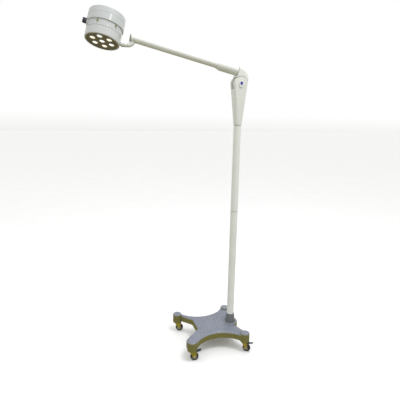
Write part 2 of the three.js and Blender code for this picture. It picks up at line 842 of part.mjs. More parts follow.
function buildArm(arm) {
  place(arm, "arm_knuckle", armKnuckle(), WHITE_PAINT);
  const axis = groupIn(arm, [0, 0, ARM_HEIGHT]);
  place(axis, "arm_sleeve", alongMinusX(armSleeve()), WHITE_PAINT);
  place(axis, "arm_tube", armTube(), WHITE_PAINT);
  place(axis, "arm_end_plug", armEndPlug(), GREY_PLASTIC);
  return groupIn(axis, [-LEG_AT, 0, 0]);
}

// ---- bracket ----

const PITCH = radians(ARM_PITCH);
const LEG_TOP_Z = PIVOT_Z + LEG_AT * Math.sin(PITCH) + ARM_HEIGHT * Math.cos(PITCH);
const LEG_TOP_X = -LEG_AT * Math.cos(PITCH) + ARM_HEIGHT * Math.sin(PITCH);
const LEG_DROP = (LEG_TOP_Z - BRACKET_Z) / Math.cos(PITCH); // down the leg to the level axis
const CORNER_X = LEG_TOP_X - LEG_DROP * Math.sin(PITCH);
const LEVEL = new THREE.Vector3(-Math.cos(PITCH), 0, -Math.sin(PITCH)); // level outwards, in the arm's frame

// From the leg's corner, a point at a distance along the level part.
const onLevel = (distance) =>
  new THREE.Vector3(0, 0, -LEG_DROP).addScaledVector(LEVEL, distance);

function bentTube() {
  const turn = Math.PI / 2 - PITCH;
  const tangent = BEND_R * Math.tan(turn / 2);
  const centre = new THREE.Vector3(-BEND_R, 0, -LEG_DROP + tangent);
  const points = [new THREE.Vector3(0, 0, LEG_SHOULDER), new THREE.Vector3(0, 0, -6)];
  for (let step = 0; step <= 6; step += 1) {
    const angle = (turn * step) / 6;
    points.push(
      new THREE.Vector3(BEND_R * Math.cos(angle), 0, -BEND_R * Math.sin(angle)).add(centre),
    );
  }
  const end = CORNER_X - BRACKET_END_X;
  points.push(onLevel(end));
  const tube = tubeAlong(points, BRACKET_R, 14, ROUND / 2);
  const topStud = rod(STUD_R, 0, LEG_NUT_SEAT + 4.2, SMALL_ROUND);
  const middle = onLevel(end + STUD / 2 - 1);
  const endStud = alongX(rod(STUD_R, -STUD / 2 - 1, STUD / 2 + 1))
    .rotateY(-PITCH)
    .translate(middle.x, 0, middle.z);
  return join(tube, topStud, endStud);
}

function buildBracket(bracket) {
  place(bracket, "bent_tube", bentTube(), WHITE_PAINT);
  const nut = ring(STUD_R + GAP, LEG_NUT_R, LEG_NUT_SEAT + GAP, LEG_NUT_SEAT + 4.2, SMALL_ROUND);
  place(bracket, "bracket_nut", nut, ZINC);
  const pin = onLevel(CORNER_X - TILT_PIN_X);
  return groupIn(bracket, [pin.x, 0, pin.z], [0, -ARM_PITCH, 0]);
}

// ---- universal joint ----

function tiltClevis() {
  const end = TILT_PIN_X - BRACKET_END_X; // negative: the bracket's end lies towards +X
  const sleeve = alongX(rod(BRACKET_R, 10.5, -end - 0.4, 24));
  const ear = new THREE.Shape()
    .absarc(0, 0, EAR_R, Math.PI / 2, (3 * Math.PI) / 2, false)
    .lineTo(12, -EAR_R)
    .lineTo(12, EAR_R);
  return cut(
    join(sleeve, slab(ear, -EAR_OUTSIDE, -EAR_INSIDE), slab(ear, EAR_INSIDE, EAR_OUTSIDE)),
    alongX(runningBore(STUD_R, -end - STUD - GAP, 30)),
    alongY(rod(TILT_PIN_R + GAP, -20, 20, SMALL_ROUND)),
  );
}

function buildClevis(roll) {
  place(roll, "tilt_clevis", tiltClevis(), WHITE_PAINT);
  place(roll, "tilt_pin", alongY(rod(TILT_PIN_R, -EAR_OUTSIDE - 1.5, EAR_OUTSIDE + 1.5, SMALL_ROUND)), ZINC);
}

// ---- lamp head ----

// A tool or piece made about Z is turned to point outwards at an angle round the head.
const outwards = (geometry, angle, z) => alongX(geometry).rotateZ(radians(angle)).translate(0, 0, z);

function lowerRing() {
  const shell = turned(
    [
      [FACE_R, 0],
      [RING_R - 2, 0],
      [RING_R, 2],
      [RING_R, RING_TOP],
      [RING_R - SHELL, RING_TOP],
      [RING_R - SHELL, 2.5],
      [FACE_R, 2.5],
    ],
    LARGE_ROUND,
  );
  const lug = join(
    alongY(rod(LUG_R, -LUG_HALF, LUG_HALF, 24)).translate(LUG_X, 0, LUG_Z),
    box([RING_R - 2, -LUG_HALF, LUG_Z - LUG_R], [LUG_X, LUG_HALF, LUG_Z + LUG_R]),
  );
  const pinBore = alongY(runningBore(TILT_PIN_R, -20, 20, SMALL_ROUND)).translate(LUG_X, 0, LUG_Z);
  return cut(join(shell, lug), pinBore);
}

function waistHousing() {
  const shell = turned(
    [
      [WAIST_R - SHELL, RING_TOP + GAP],
      [WAIST_R, RING_TOP + GAP],
      [WAIST_R, WAIST_TOP - 2.5],
      [COVER_R - 3, WAIST_TOP - 2.5],
      [COVER_R - 3, WAIST_TOP],
      [WAIST_R - SHELL, WAIST_TOP],
    ],
    LARGE_ROUND,
  );
  const tools = [outwards(rod(DIMMER_R + GAP, 60, 110), DIMMER_ANGLE, DIMMER_Z)];
  for (let i = 1; i < VENT_COUNT; i += 1) {
    const vent = box([WAIST_R - 10, -5.5, 52], [WAIST_R + 2, 5.5, 71]);
    tools.push(vent.rotateZ(radians(DIMMER_ANGLE + (i * 360) / VENT_COUNT)));
  }
  return cut(shell, ...tools);
}

function upperCover() {
  const shell = turned(
    [
      [0, COVER_TOP - 2.5],
      [COVER_R - 7, COVER_TOP - 2.5],
      [COVER_R - 2.7, COVER_TOP - 7],
      [COVER_R - 2.7, COVER_RIM],
      [COVER_R, COVER_RIM],
      [COVER_R, COVER_TOP - 6],
      [COVER_R - 2, COVER_TOP - 2],
      [COVER_R - 6, COVER_TOP],
      [0, COVER_TOP],
    ],
    LARGE_ROUND,
  );
  const seam = box([COVER_R - 1.5, -4, COVER_RIM + 1], [COVER_R + 1.2, 4, TIER_Z - 2]);
  return cut(
    join(shell, seam.rotateZ(radians(SEAM_ANGLE))),
    outwards(rod(DIMMER_R + GAP, 60, 110), DIMMER_ANGLE, DIMMER_Z),
  );
}

const lensPlaces = () => {
  const places = [[0, 0]];
  for (let i = 0; i < LENS_COUNT; i += 1) {
    const angle = radians(LENS_ANGLE + (i * 360) / LENS_COUNT);
    places.push([LENS_RING * Math.cos(angle), LENS_RING * Math.sin(angle)]);
  }
  return places;
};

const PLATE_BOTTOM = 2.8;
const PLATE_TOP = 6;

function reflectorPlate() {
  const holes = lensPlaces().map(([x, y]) => rod(LENS_R + GAP, 0, 10, SMALL_ROUND).translate(x, y, 0));
  return cut(rod(RING_R - SHELL - GAP, PLATE_BOTTOM, PLATE_TOP, LARGE_ROUND), ...holes);
}

function lens() {
  const flange = PLATE_TOP + GAP;
  return turned(
    [
      [0, 0.5],
      [7, 1.3],
      [LENS_R, PLATE_BOTTOM + 0.8],
      [LENS_R, flange],
      [LENS_R + 2.5, flange],
      [LENS_R + 2.5, flange + 2.6],
      [0, flange + 2.6],
    ],
    SMALL_ROUND,
  );
}

const BOARD_BOTTOM = PLATE_TOP + GAP + 2.6 + GAP;
const SINK_BOTTOM = BOARD_BOTTOM + 1.6 + GAP;
const SINK_TOP = 40;

function heatSink() {
  const fins = [];
  for (let i = -3; i <= 3; i += 1) {
    fins.push(box([i * 20 - 1.5, -90, SINK_BOTTOM + 3], [i * 20 + 1.5, 90, SINK_TOP]));
  }
  const plate = rod(80, SINK_BOTTOM, SINK_BOTTOM + 4);
  return join(plate, ...fins.map((fin) => overlap(fin, rod(78, 0, 60))));
}

function driverBoard() {
  const z = 52;
  const posts = [-20, 20].flatMap((x) =>
    [-22, 22].map((y) => rod(2.4, SINK_TOP + GAP, z + 1, 12).translate(x, y, 0)),
  );
  return join(
    box([-46, -28, z], [46, 28, z + 1.6]),
    box([-38, -16, z + 1], [-10, 14, z + 20]),
    box([6, -20, z + 1], [24, -4, z + 12]),
    rod(6, z + 1, z + 24, SMALL_ROUND).translate(14, 12, 0),
    ...posts,
  );
}

const SHAFT_R = 3;

// The white boss, with the potentiometer's body behind it, and a bore for the knob's shaft.
function dimmerBoss() {
  const boss = turned([
    [0, 79],
    [DIMMER_R, 79],
    [DIMMER_R, DIMMER_FRONT - 1.5],
    [DIMMER_R - 1.5, DIMMER_FRONT],
    [0, DIMMER_FRONT],
  ]);
  const body = box([-9, -9, 67], [9, 9, 80]);
  return cut(join(boss, body), runningBore(SHAFT_R, 70, 100, 12));
}

function dimmerKnob() {
  const back = DIMMER_FRONT + 0.4;
  const front = back + KNOB_LENGTH;
  const grip = turned(
    [
      [0, back],
      [KNOB_R - 1.5, back],
      [KNOB_R, back + 1.6],
      [KNOB_R - 1.2, front - 1.5],
      [KNOB_R - 3, front],
      [0, front],
    ],
    24,
  );
  const flutes = [];
  for (let i = 0; i < 6; i += 1) {
    const angle = (i * Math.PI) / 3;
    const flute = rod(3.4, back + 4, front + 2, 8);
    flutes.push(flute.translate((KNOB_R + 1.6) * Math.cos(angle), (KNOB_R + 1.6) * Math.sin(angle), 0));
  }
  return join(cut(grip, ...flutes), rod(SHAFT_R, 72, back + 1, 12));
}

function buildHead(tilt) {
  const head = groupIn(tilt, [-LUG_X, 0, -LUG_Z]);
  place(head, "lower_ring", lowerRing(), LAMP_PAINT);
  place(head, "waist_housing", waistHousing(), LAMP_PAINT);
  place(head, "upper_cover", upperCover(), LAMP_PAINT);
  place(head, "reflector_plate", reflectorPlate(), OLIVE_PLATE);
  lensPlaces().forEach(([x, y], i) => {
    place(groupIn(head, [x, y, 0]), "lens_" + (i + 1), lens(), CLEAR_LENS);
  });
  place(head, "led_board", rod(80, BOARD_BOTTOM, BOARD_BOTTOM + 1.6), BOARD);
  place(head, "heat_sink", heatSink(), ALUMINIUM);
  place(head, "driver_board", driverBoard(), BOARD);
  const spoke = groupIn(head, [0, 0, DIMMER_Z], [0, 0, DIMMER_ANGLE]);
  place(spoke, "dimmer_boss", alongX(dimmerBoss()), WHITE_PLASTIC);
  place(spoke, "dimmer_knob", alongX(dimmerKnob()), DARK_PLASTIC);
}

// ---- the light ----

const light = new THREE.Group();
const lamp = groupIn(light, [POLE_X, POLE_Y, 0]);
buildBase(lamp);
for (const caster of CASTERS) buildCaster(lamp, caster);
buildPole(lamp);
buildColumn(lamp);
const arm = groupIn(lamp, [0, 0, PIVOT_Z], [0, ARM_PITCH, 0]);
const bracket = buildArm(arm);
const level = buildBracket(bracket);
const roll = groupIn(level, [0, 0, 0], [HEAD_ROLL, 0, 0]);
buildClevis(roll);
const tilt = groupIn(roll, [0, 0, 0], [0, HEAD_TILT, 0]);
buildHead(tilt);

export default light;
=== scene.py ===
import json
import math

import bmesh
import bpy
from mathutils import Matrix, Vector

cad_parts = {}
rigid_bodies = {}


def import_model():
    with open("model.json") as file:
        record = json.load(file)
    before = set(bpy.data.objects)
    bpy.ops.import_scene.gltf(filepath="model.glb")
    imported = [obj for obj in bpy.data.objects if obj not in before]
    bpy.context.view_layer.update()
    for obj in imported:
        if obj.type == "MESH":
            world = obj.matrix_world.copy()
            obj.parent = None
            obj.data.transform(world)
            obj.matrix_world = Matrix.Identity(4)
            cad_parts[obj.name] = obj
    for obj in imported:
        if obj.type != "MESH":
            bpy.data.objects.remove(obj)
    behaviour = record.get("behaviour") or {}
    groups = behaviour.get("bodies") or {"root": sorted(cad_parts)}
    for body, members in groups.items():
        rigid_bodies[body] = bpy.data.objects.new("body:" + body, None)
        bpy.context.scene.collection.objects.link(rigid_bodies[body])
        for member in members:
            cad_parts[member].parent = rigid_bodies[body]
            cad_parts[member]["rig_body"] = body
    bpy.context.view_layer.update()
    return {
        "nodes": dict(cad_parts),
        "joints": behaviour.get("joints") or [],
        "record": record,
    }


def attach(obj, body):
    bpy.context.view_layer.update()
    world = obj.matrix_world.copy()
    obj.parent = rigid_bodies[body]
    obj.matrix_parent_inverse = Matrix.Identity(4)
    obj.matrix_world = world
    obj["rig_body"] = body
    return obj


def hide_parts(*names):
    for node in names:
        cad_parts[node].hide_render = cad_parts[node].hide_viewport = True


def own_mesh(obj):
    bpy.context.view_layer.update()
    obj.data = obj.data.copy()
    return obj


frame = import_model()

# A mobile surgical light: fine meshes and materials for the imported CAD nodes.
# Shapes are drawn in millimetres in the local frame of the piece they belong to, and placed by the joints.

MM = 0.001
GAP = 0.3  # between pieces that are fixed together
RUN = 0.06  # between a pin and its bore

# Base casting, from the middle of its four feet
BASE_X = -138.0
FOOT_REACH = 168.0
FOOT_R = 28.0
FOOT_BOTTOM = 62.0
FOOT_TOP = 120.0
WEB_BOTTOM = 72.0
WEB_TOP = 110.0
WEB_EDGE = 9.0
WEB_WALL = 10.0
WEB_ROOF = 11.0
POLE_SIDE = 150.0
LONG_SIDE = 108.0
NOTCH_X = -90.0
NOTCH_CORNERS = (
    (-FOOT_REACH, FOOT_REACH, 0.0),
    (NOTCH_X, 80.0, 25.0),
    (NOTCH_X, -31.0, 25.0),
    (-FOOT_REACH - FOOT_R, -129.0, 45.0),
    (-FOOT_REACH - FOOT_R, -FOOT_REACH, 0.0),
)
BOSS_R = 46.0
BOSS_TOP = 114.0
EDGE_STEPS = 8
RIB_HALF = 4.0
RIB_DROP = 5.0
BOLT_BORE_R = 6.7
BOLT_HEAD_R = 12.0
BOLT_HEAD_TOP = 83.7
SOCKET_BORE_R = 21.8

# Casters
WHEEL_R = 24.0
TRAIL = 14.0
HUB_R = 15.0
AXLE_R = 3.0
FORK_INSIDE = 11.8
FORK_OUTSIDE = 14.0
CROWN_BOTTOM = 52.0
CROWN_TOP = 57.4
CROWN_R = 14.9
STEM_R = 5.0
STEM_BORE_R = 5.3
STEM_TOP = 95.0
RIVET_R = 7.5
HUB_POCKETS = 5
PEDAL_X = 20.0
PEDAL_Z = 54.5
HINGE_R = 2.5
TREADS = 5

# Pole and column head
POLE_R = 21.5
POLE_BORE = 19.5
POLE_JOINT = 842.0
POLE_GROOVE = 3.0  # the open line between the two lengths of pole
POLE_TOP = 1351.0
SOCKET_TOP = 168.0
HEAD_BOTTOM = 1354.6
SHOULDER_Z = 1548.0
PIVOT_Z = 1579.0
CHEEK_R = 41.0
CHEEK_Y = 34.0
COLUMN_FOOT_R = 23.5
SPINDLE_R = 12.0
SPINDLE_TOP = 1437.0
SLOT_HALF = 17.0
SLOT_BOTTOM = 1552.0
PIVOT_R = 6.0
CAVITY_X = -12.5
CAVITY_R = 12.0
CAVITY_BOTTOM = 1446.0
SPRING_R = 9.2
SPRING_WIRE = 1.2
SPRING_TURNS = 8
SPRING_STEPS = 24  # for each turn
ROD_R = 3.5
ROD_LENGTH = 105.0
COLLAR_DROP = 52.0  # from the link pin to the underside of the rod's collar
LINK_R = 3.0

# Arm, along its own axis from the pivot
ARM_HEIGHT = 66.8
SEAM = 30.3
SLEEVE_R = 27.0
SLEEVE_END = 134.5
SLEEVE_TIP = 158.0
ARM_R = 19.0
ARM_START = 46.0
ARM_END = 634.5
LEG_AT = 618.5
RECESS_R = 43.5
HOOD_HALF = 32.0
HOOD_EDGE = 17.0
TONGUE_R = 25.0
TONGUE_HALF = 16.5
PLUG_R = 16.7
PLUG_START = 600.0
LINK_REACH = 14.0

# Bracket and universal joint
BRACKET_R = 11.5
BEND_R = 26.0
BEND_STEPS = 16
BRACKET_END = 22.5  # from the tilt pin to the end of the bent tube
LEG_PLAY = 2.2
LEG_STRAIGHT = 11.0
EAR_R = 11.0
EAR_INSIDE = 4.4
EAR_OUTSIDE = 11.0
STUD_R = 6.0
NUT_TOP = 12.2
TILT_PIN_R = 3.0

# Lamp head, from the middle of its face
RING_R = 86.5
RING_TOP = 42.0
FACE_R = 79.0
WAIST_R = 87.0
WAIST_TOP = 78.0
COVER_R = 91.5
COVER_RIM = 74.0
COVER_TOP = 140.0
TIER_Z = 109.0
LUG_X = 100.5
LUG_Z = 20.0
LUG_R = 8.5
LUG_HALF = 4.0
SCREW_R = 2.8
LENS_R = 13.0
LENS_RING = 48.5
LENS_ANGLE = 11.5
WARM_LENSES = (3, 5, 7)
DIMMER_ANGLE = 184.0
DIMMER_Z = 76.0
DIMMER_R = 20.0
DIMMER_BACK = 79.0
DIMMER_FRONT = 90.0
DIMMER_MARKS = 11
SHAFT_R = 3.0
KNOB_R = 15.0
KNOB_LENGTH = 19.6
KNOB_SIDES = 96
KNOB_LOBES = 6
KNOB_LOBE_DEPTH = 0.12  # as a share of the radius
SEAM_ANGLE = 280.5
HEAD_TILT = 14.3

# ---- frames of the pieces ----

JOINTS = {joint["name"]: joint for joint in frame["joints"]}
SLOTS = {row["node"]: row["material_slot"] for row in frame["record"]["subparts"]}


def at(joint):
    return Matrix.Translation(JOINTS[joint]["pos_m"])


def shift(x, y, z):
    """A move in millimetres."""
    return Matrix.Translation((x * MM, y * MM, z * MM))


def turn(degrees, axis):
    return Matrix.Rotation(math.radians(degrees), 4, axis)


def axis_of(joint):
    return Vector(JOINTS[joint]["axis"])


pole_place = Vector(JOINTS["column_swivel"]["pos_m"])
POLE = Matrix.Translation((pole_place.x, pole_place.y, 0))
BASE = POLE @ shift(BASE_X, 0, 0)
leg_axis = axis_of("bracket_swivel")
ARM_PITCH = math.degrees(math.atan2(leg_axis.x, leg_axis.z))
PIVOT = at("arm_lift")
ARM = PIVOT @ turn(ARM_PITCH, "Y")
ARM_AXIS = ARM @ shift(0, 0, ARM_HEIGHT)
LEG = at("bracket_swivel") @ turn(ARM_PITCH, "Y")
tilt_axis = axis_of("head_tilt")
CLEVIS = at("head_tilt") @ turn(math.degrees(math.atan2(tilt_axis.z, tilt_axis.y)), "X")
HEAD = CLEVIS @ turn(HEAD_TILT, "Y") @ shift(-LUG_X, 0, -LUG_Z)
DIMMER = HEAD @ shift(0, 0, DIMMER_Z) @ turn(DIMMER_ANGLE, "Z")
ALONG_X = turn(90, "Y")
ALONG_MINUS_X = turn(-90, "Y")
ALONG_Y = turn(-90, "X")
SIDE = turn(90, "X")  # an outline in X and Y becomes one in X and Z, and its depth runs along -Y

# ---- mesh helpers ----


def made(name, vertices, faces):
    """A new mesh object whose faces all point outwards."""
    mesh = bpy.data.meshes.new(name)
    mesh.from_pydata([tuple(v) for v in vertices], [], faces)
    work = bmesh.new()
    work.from_mesh(mesh)
    bmesh.ops.recalc_face_normals(work, faces=work.faces)
    work.to_mesh(mesh)
    work.free()
    piece = bpy.data.objects.new(name, mesh)
    bpy.context.scene.collection.objects.link(piece)
    return piece


def filleted(corners, closed=True, steps=5):
    """Corner points (x, y) or (x, y, radius) as a list of points, with each given radius as an arc."""
    points = []
    last = len(corners) - 1
    for i, corner in enumerate(corners):
        here = Vector(corner[:2])
        radius = corner[2] if len(corner) > 2 else 0
        if radius == 0 or (not closed and i in (0, last)):
            points.append(tuple(here))
            continue
        before = (Vector(corners[i - 1][:2]) - here).normalized()
        after = (Vector(corners[(i + 1) % len(corners)][:2]) - here).normalized()
        half = before.angle(after) / 2
        centre = here + (before + after).normalized() * (radius / math.sin(half))
        start = here + before * (radius / math.tan(half)) - centre
        end = here + after * (radius / math.tan(half)) - centre
        directions = [start.slerp(end, step / steps).normalized() for step in range(steps + 1)]
        points.extend(tuple(centre + direction * radius) for direction in directions)
    return points


def arc(x, y, radius, start, end, steps):
    """Points of an arc between two angles in degrees."""
    angles = [math.radians(start + (end - start) * i / steps) for i in range(steps + 1)]
    return [(x + radius * math.cos(a), y + radius * math.sin(a)) for a in angles]


def circle(x, y, radius, steps=48):
    return arc(x, y, radius, 0, 360, steps)[:-1]


def skin(name, rings, closed=False):
    """A mesh through rings of equal counts: capped at both ends, or closed on itself."""
    count = len(rings[0])
    faces = []
    for level in range(len(rings) if closed else len(rings) - 1):
        low = level * count
        high = ((level + 1) % len(rings)) * count
        for i in range(count):
            j = (i + 1) % count
            faces.append((low + i, low + j, high + j, high + i))
    if not closed:
        top = (len(rings) - 1) * count
        faces.append(tuple(range(count)))
        faces.append(tuple(range(top, top + count)))
    return made(name, [point for ring in rings for point in ring], faces)


def lathe(name, corners, sides=96, steps=5):
    """A profile of (radius, height) or (radius, height, fillet) corners turned about Z."""
    closed = corners[0][0] > 0
    profile = filleted(corners, closed, steps)
    vertices = []
    rings = []
    for radius, height in profile:
        start = len(vertices)
        if radius < 1e-6:
            vertices.append((0, 0, height))
            rings.append([start] * sides)
            continue
        vertices.extend((x, y, height) for x, y in circle(0, 0, radius, sides))
        rings.append(list(range(start, start + sides)))
    faces = []
    for low, high in zip(rings, rings[1:] + rings[:1] if closed else rings[1:]):
        for i in range(sides):
            j = (i + 1) % sides
            face = tuple(dict.fromkeys((low[i], low[j], high[j], high[i])))
            if len(face) > 2:
                faces.append(face)
    return made(name, vertices, faces)


def rod(name, radius, low, high, sides=64, edge=0):
    return lathe(name, [(0, low), (radius, low, edge), (radius, high, edge), (0, high)], sides, 3)


def ring(name, inner, outer, low, high, sides=96, edge=0.3):
    corners = [(inner, low, edge), (outer, low, edge), (outer, high, edge), (inner, high, edge)]
    return lathe(name, corners, sides, 2)


def prism(name, outline, low, high):
    return skin(name, [[(x, y, z) for x, y in outline] for z in (low, high)])


def plate(name, outline, low, high):
    """A side outline in X and Z made into a slab between two values of Y."""
    piece = prism(name, outline, -high, -low)
    piece.data.transform(SIDE)
    return piece


def box(name, low, high):
    outline = [(low[0], low[1]), (high[0], low[1]), (high[0], high[1]), (low[0], high[1])]
    return prism(name, outline, low[2], high[2])


def moved(piece, matrix):
    """Turns or moves a piece whose sizes are still in millimetres."""
    location, rotation, _ = matrix.decompose()
    piece.data.transform(Matrix.Translation(location / MM) @ rotation.to_matrix().to_4x4())
    return piece


def settled(piece):
    """Bakes a piece's modifiers into its mesh."""
    graph = bpy.context.evaluated_depsgraph_get()
    mesh = bpy.data.meshes.new_from_object(piece.evaluated_get(graph))
    piece.modifiers.clear()
    piece.data = mesh
    return piece


def carved(piece, operation, tools):
    for tool in tools:
        modifier = piece.modifiers.new("carve", "BOOLEAN")
        modifier.operation = operation
        modifier.solver = "EXACT"
        modifier.object = tool
    settled(piece)
    for tool in tools:
        bpy.data.objects.remove(tool)
    return piece


def joined(piece, *tools):
    return carved(piece, "UNION", tools)


def cut(piece, *tools):
    return carved(piece, "DIFFERENCE", tools)


def hole(radius, low, high, place, sides=64):
    """A round cutter, put where it cuts."""
    return moved(rod("hole", radius, low, high, sides), place)


def kept(piece, *tools):
    return carved(piece, "INTERSECT", tools)


def eased(piece, width, segments=3, angle=35):
    """Rounds the edges sharper than an angle."""
    modifier = piece.modifiers.new("edges", "BEVEL")
    modifier.width = width
    modifier.segments = segments
    modifier.limit_method = "ANGLE"
    modifier.angle_limit = math.radians(angle)
    return settled(piece)


def dressed(piece, place, body, slot, sharp=32, look=None):
    """Scales a piece to metres, puts it in its place, and gives it its body and the material named by its
    look or its slot.
    """
    piece.data.transform(place @ Matrix.Scale(MM, 4))
    piece.data.materials.clear()
    piece.data.materials.append(MATERIALS[look or slot])
    piece.data.polygons.foreach_set("use_smooth", [True] * len(piece.data.polygons))
    piece.data.set_sharp_from_angle(angle=math.radians(sharp))
    modifier = piece.modifiers.new("flat walls", "WEIGHTED_NORMAL")
    modifier.keep_sharp = True
    settled(piece)
    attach(piece, body)
    return piece


def stands_for(node, piece, place, sharp=32, look=None):
    """A finished piece that replaces one CAD node."""
    dressed(piece, place, frame["nodes"][node]["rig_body"], SLOTS[node], sharp, look)
    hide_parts(node)


# ---- materials ----


class Nodes:
    """A short way to build a Principled material."""

    def __init__(self, name):
        self.material = bpy.data.materials.new(name)
        self.material.use_nodes = True
        self.tree = self.material.node_tree
        self.shader = self.tree.nodes["Principled BSDF"]
        self.place = self.tree.nodes.new("ShaderNodeTexCoord").outputs["Object"]

    def link(self, source, target):
        self.tree.links.new(source, target)

    def noise(self, scale, detail=3.0, roughness=0.55, stretch=None):
        node = self.tree.nodes.new("ShaderNodeTexNoise")
        node.inputs["Scale"].default_value = scale
        node.inputs["Detail"].default_value = detail
        node.inputs["Roughness"].default_value = roughness
        where = self.place
        if stretch:
            mapping = self.tree.nodes.new("ShaderNodeMapping")
            mapping.inputs["Scale"].default_value = stretch
            self.link(where, mapping.inputs["Vector"])
            where = mapping.outputs["Vector"]
        self.link(where, node.inputs["Vector"])
        return node.outputs["Fac"]

    def cells(self, scale, feature="F1"):
        node = self.tree.nodes.new("ShaderNodeTexVoronoi")
        node.feature = feature
        node.inputs["Scale"].default_value = scale
        self.link(self.place, node.inputs["Vector"])
        return node.outputs["Distance"]

    def ramp(self, source, *stops):
        """Maps a value to colours, given as (position, colour)."""
        node = self.tree.nodes.new("ShaderNodeValToRGB")
        points = node.color_ramp.elements
        while len(points) < len(stops):
            points.new(0.5)
        for point, (position, colour) in zip(points, stops):
            point.position = position
            point.color = (*colour, 1)
        self.link(source, node.inputs["Fac"])
        return node.outputs["Color"]

    def span(self, source, low, high, from_low=0.3, from_high=0.7):
        node = self.tree.nodes.new("ShaderNodeMapRange")
        node.inputs["From Min"].default_value = from_low
        node.inputs["From Max"].default_value = from_high
        node.inputs["To Min"].default_value = low
        node.inputs["To Max"].default_value = high
        self.link(source, node.inputs["Value"])
        return node.outputs["Result"]

    def upwards(self):
        """How far the surface faces up, from -1 to 1."""
        split = self.tree.nodes.new("ShaderNodeSeparateXYZ")
        self.link(self.tree.nodes.new("ShaderNodeNewGeometry").outputs["Normal"], split.inputs["Vector"])
        return split.outputs["Z"]

    def crevices(self, distance):
        """Is 1 in the open and falls towards 0 in corners and gaps."""
        node = self.tree.nodes.new("ShaderNodeAmbientOcclusion")
        node.inputs["Distance"].default_value = distance
        node.samples = 8
        return node.outputs["AO"]

    def blend(self, amount, first, second):
        """Mixes two colours or sockets by an amount from 0 to 1."""
        node = self.tree.nodes.new("ShaderNodeMix")
        node.data_type = "RGBA"
        self.link(amount, node.inputs["Factor"])
        for socket, value in (("A", first), ("B", second)):
            target = [s for s in node.inputs if s.name == socket and s.type == "RGBA"][0]
            if isinstance(value, tuple):
                target.default_value = (*value, 1)
            else:
                self.link(value, target)
        return [s for s in node.outputs if s.type == "RGBA"][0]

    def bump(self, *layers):
        """Stacks height layers, each (height socket, depth in metres)."""
        normal = None
        for height, depth in layers:
            node = self.tree.nodes.new("ShaderNodeBump")
            node.inputs["Strength"].default_value = 1.0
            node.inputs["Distance"].default_value = depth
            self.link(height, node.inputs["Height"])
            if normal:
                self.link(normal, node.inputs["Normal"])
            normal = node.outputs["Normal"]
        self.link(normal, self.shader.inputs["Normal"])

    def set(self, **values):
        for name, value in values.items():
            target = self.shader.inputs[name.replace("_", " ")]
            if isinstance(value, (int, float)):
                target.default_value = value
            elif isinstance(value, tuple):
                target.default_value = (*value, 1)
            else:
                self.link(value, target)
        return self.material


def painted(name, colour, dust_and_gap_shade, rough=0.36, grain=1400.0, depth=0.00002):
    """Powder coat: orange peel, faint clouding, and painted shade that darkens the gaps."""
    nodes = Nodes(name)
    clouds = nodes.noise(9.0)
    darker = tuple(c * 0.93 for c in colour)
    base = nodes.ramp(clouds, (0.3, darker), (0.7, colour))
    # Painted shade: ambient occlusion blends the colour towards the dark colour given for gaps and corners.
    shade = nodes.blend(nodes.span(nodes.crevices(0.006), 0, 1, 0.05, 0.45), dust_and_gap_shade, base)
    nodes.bump((nodes.noise(grain, 2.0), depth), (nodes.noise(grain * 0.22, 2.0), depth * 1.5))
    roughness = nodes.span(nodes.noise(40.0), rough - 0.05, rough + 0.08)
    return nodes.set(Base_Color=shade, Roughness=roughness, Coat_Weight=0.15, Coat_Roughness=0.2)


def hammered_paint(name):
    """Grey hammer-finish paint on a sand casting, with painted light: an olive-brown floor bounce on the
    sides and painted shade in corners.
    """
    nodes = Nodes(name)
    clouds = nodes.noise(14.0, 4.0)
    dimples = nodes.cells(330.0, "SMOOTH_F1")
    base = nodes.ramp(clouds, (0.3, (0.125, 0.140, 0.175)), (0.7, (0.175, 0.193, 0.238)))
    flecked = nodes.blend(nodes.span(dimples, 0, 0.55, 0.1, 0.7), base, (0.27, 0.29, 0.34))
    grain = nodes.noise(165.0, 2.0, 0.6)
    flecked = nodes.blend(nodes.span(grain, 0, 0.7, 0.52, 0.66), flecked, (0.38, 0.41, 0.48))
    # Painted floor bounce: faces that turn from upright to sideways or down are tinted olive-brown, standing
    # in for the warm light thrown up from the floor.
    upright = nodes.span(nodes.upwards(), 0, 1, 0.25, 0.75)
    sides = nodes.blend(upright, (0.205, 0.190, 0.062), flecked)
    # Painted shade: ambient occlusion darkens corners and gaps towards a near-black brown.
    shade = nodes.blend(nodes.span(nodes.crevices(0.02), 0, 1, 0.3, 0.9), (0.075, 0.072, 0.062), sides)
    nodes.bump((dimples, 0.00035), (nodes.noise(60.0, 4.0), 0.0006))
    roughness = nodes.span(nodes.noise(90.0), 0.36, 0.55)
    return nodes.set(Base_Color=shade, Roughness=roughness, Metallic=0.25)


def zinc_plate(name, low, middle, high, rough):
    """Passivated zinc, whose tint drifts over the surface."""
    nodes = Nodes(name)
    drift = nodes.noise(48.0, 3.0)
    tint = nodes.ramp(drift, (0.3, low), (0.5, middle), (0.7, high))
    # A darker copy of the middle tint, blended in by ambient occlusion in crevices: painted shade.
    crevice_shade = tuple(c * 0.35 for c in middle)
    shade = nodes.blend(nodes.span(nodes.crevices(0.004), 0, 1, 0.2, 0.8), crevice_shade, tint)
    nodes.bump((nodes.noise(900.0, 2.0), 0.00003))
    roughness = nodes.span(nodes.noise(200.0), rough - 0.07, rough + 0.1)
    return nodes.set(Base_Color=shade, Roughness=roughness, Metallic=0.9)


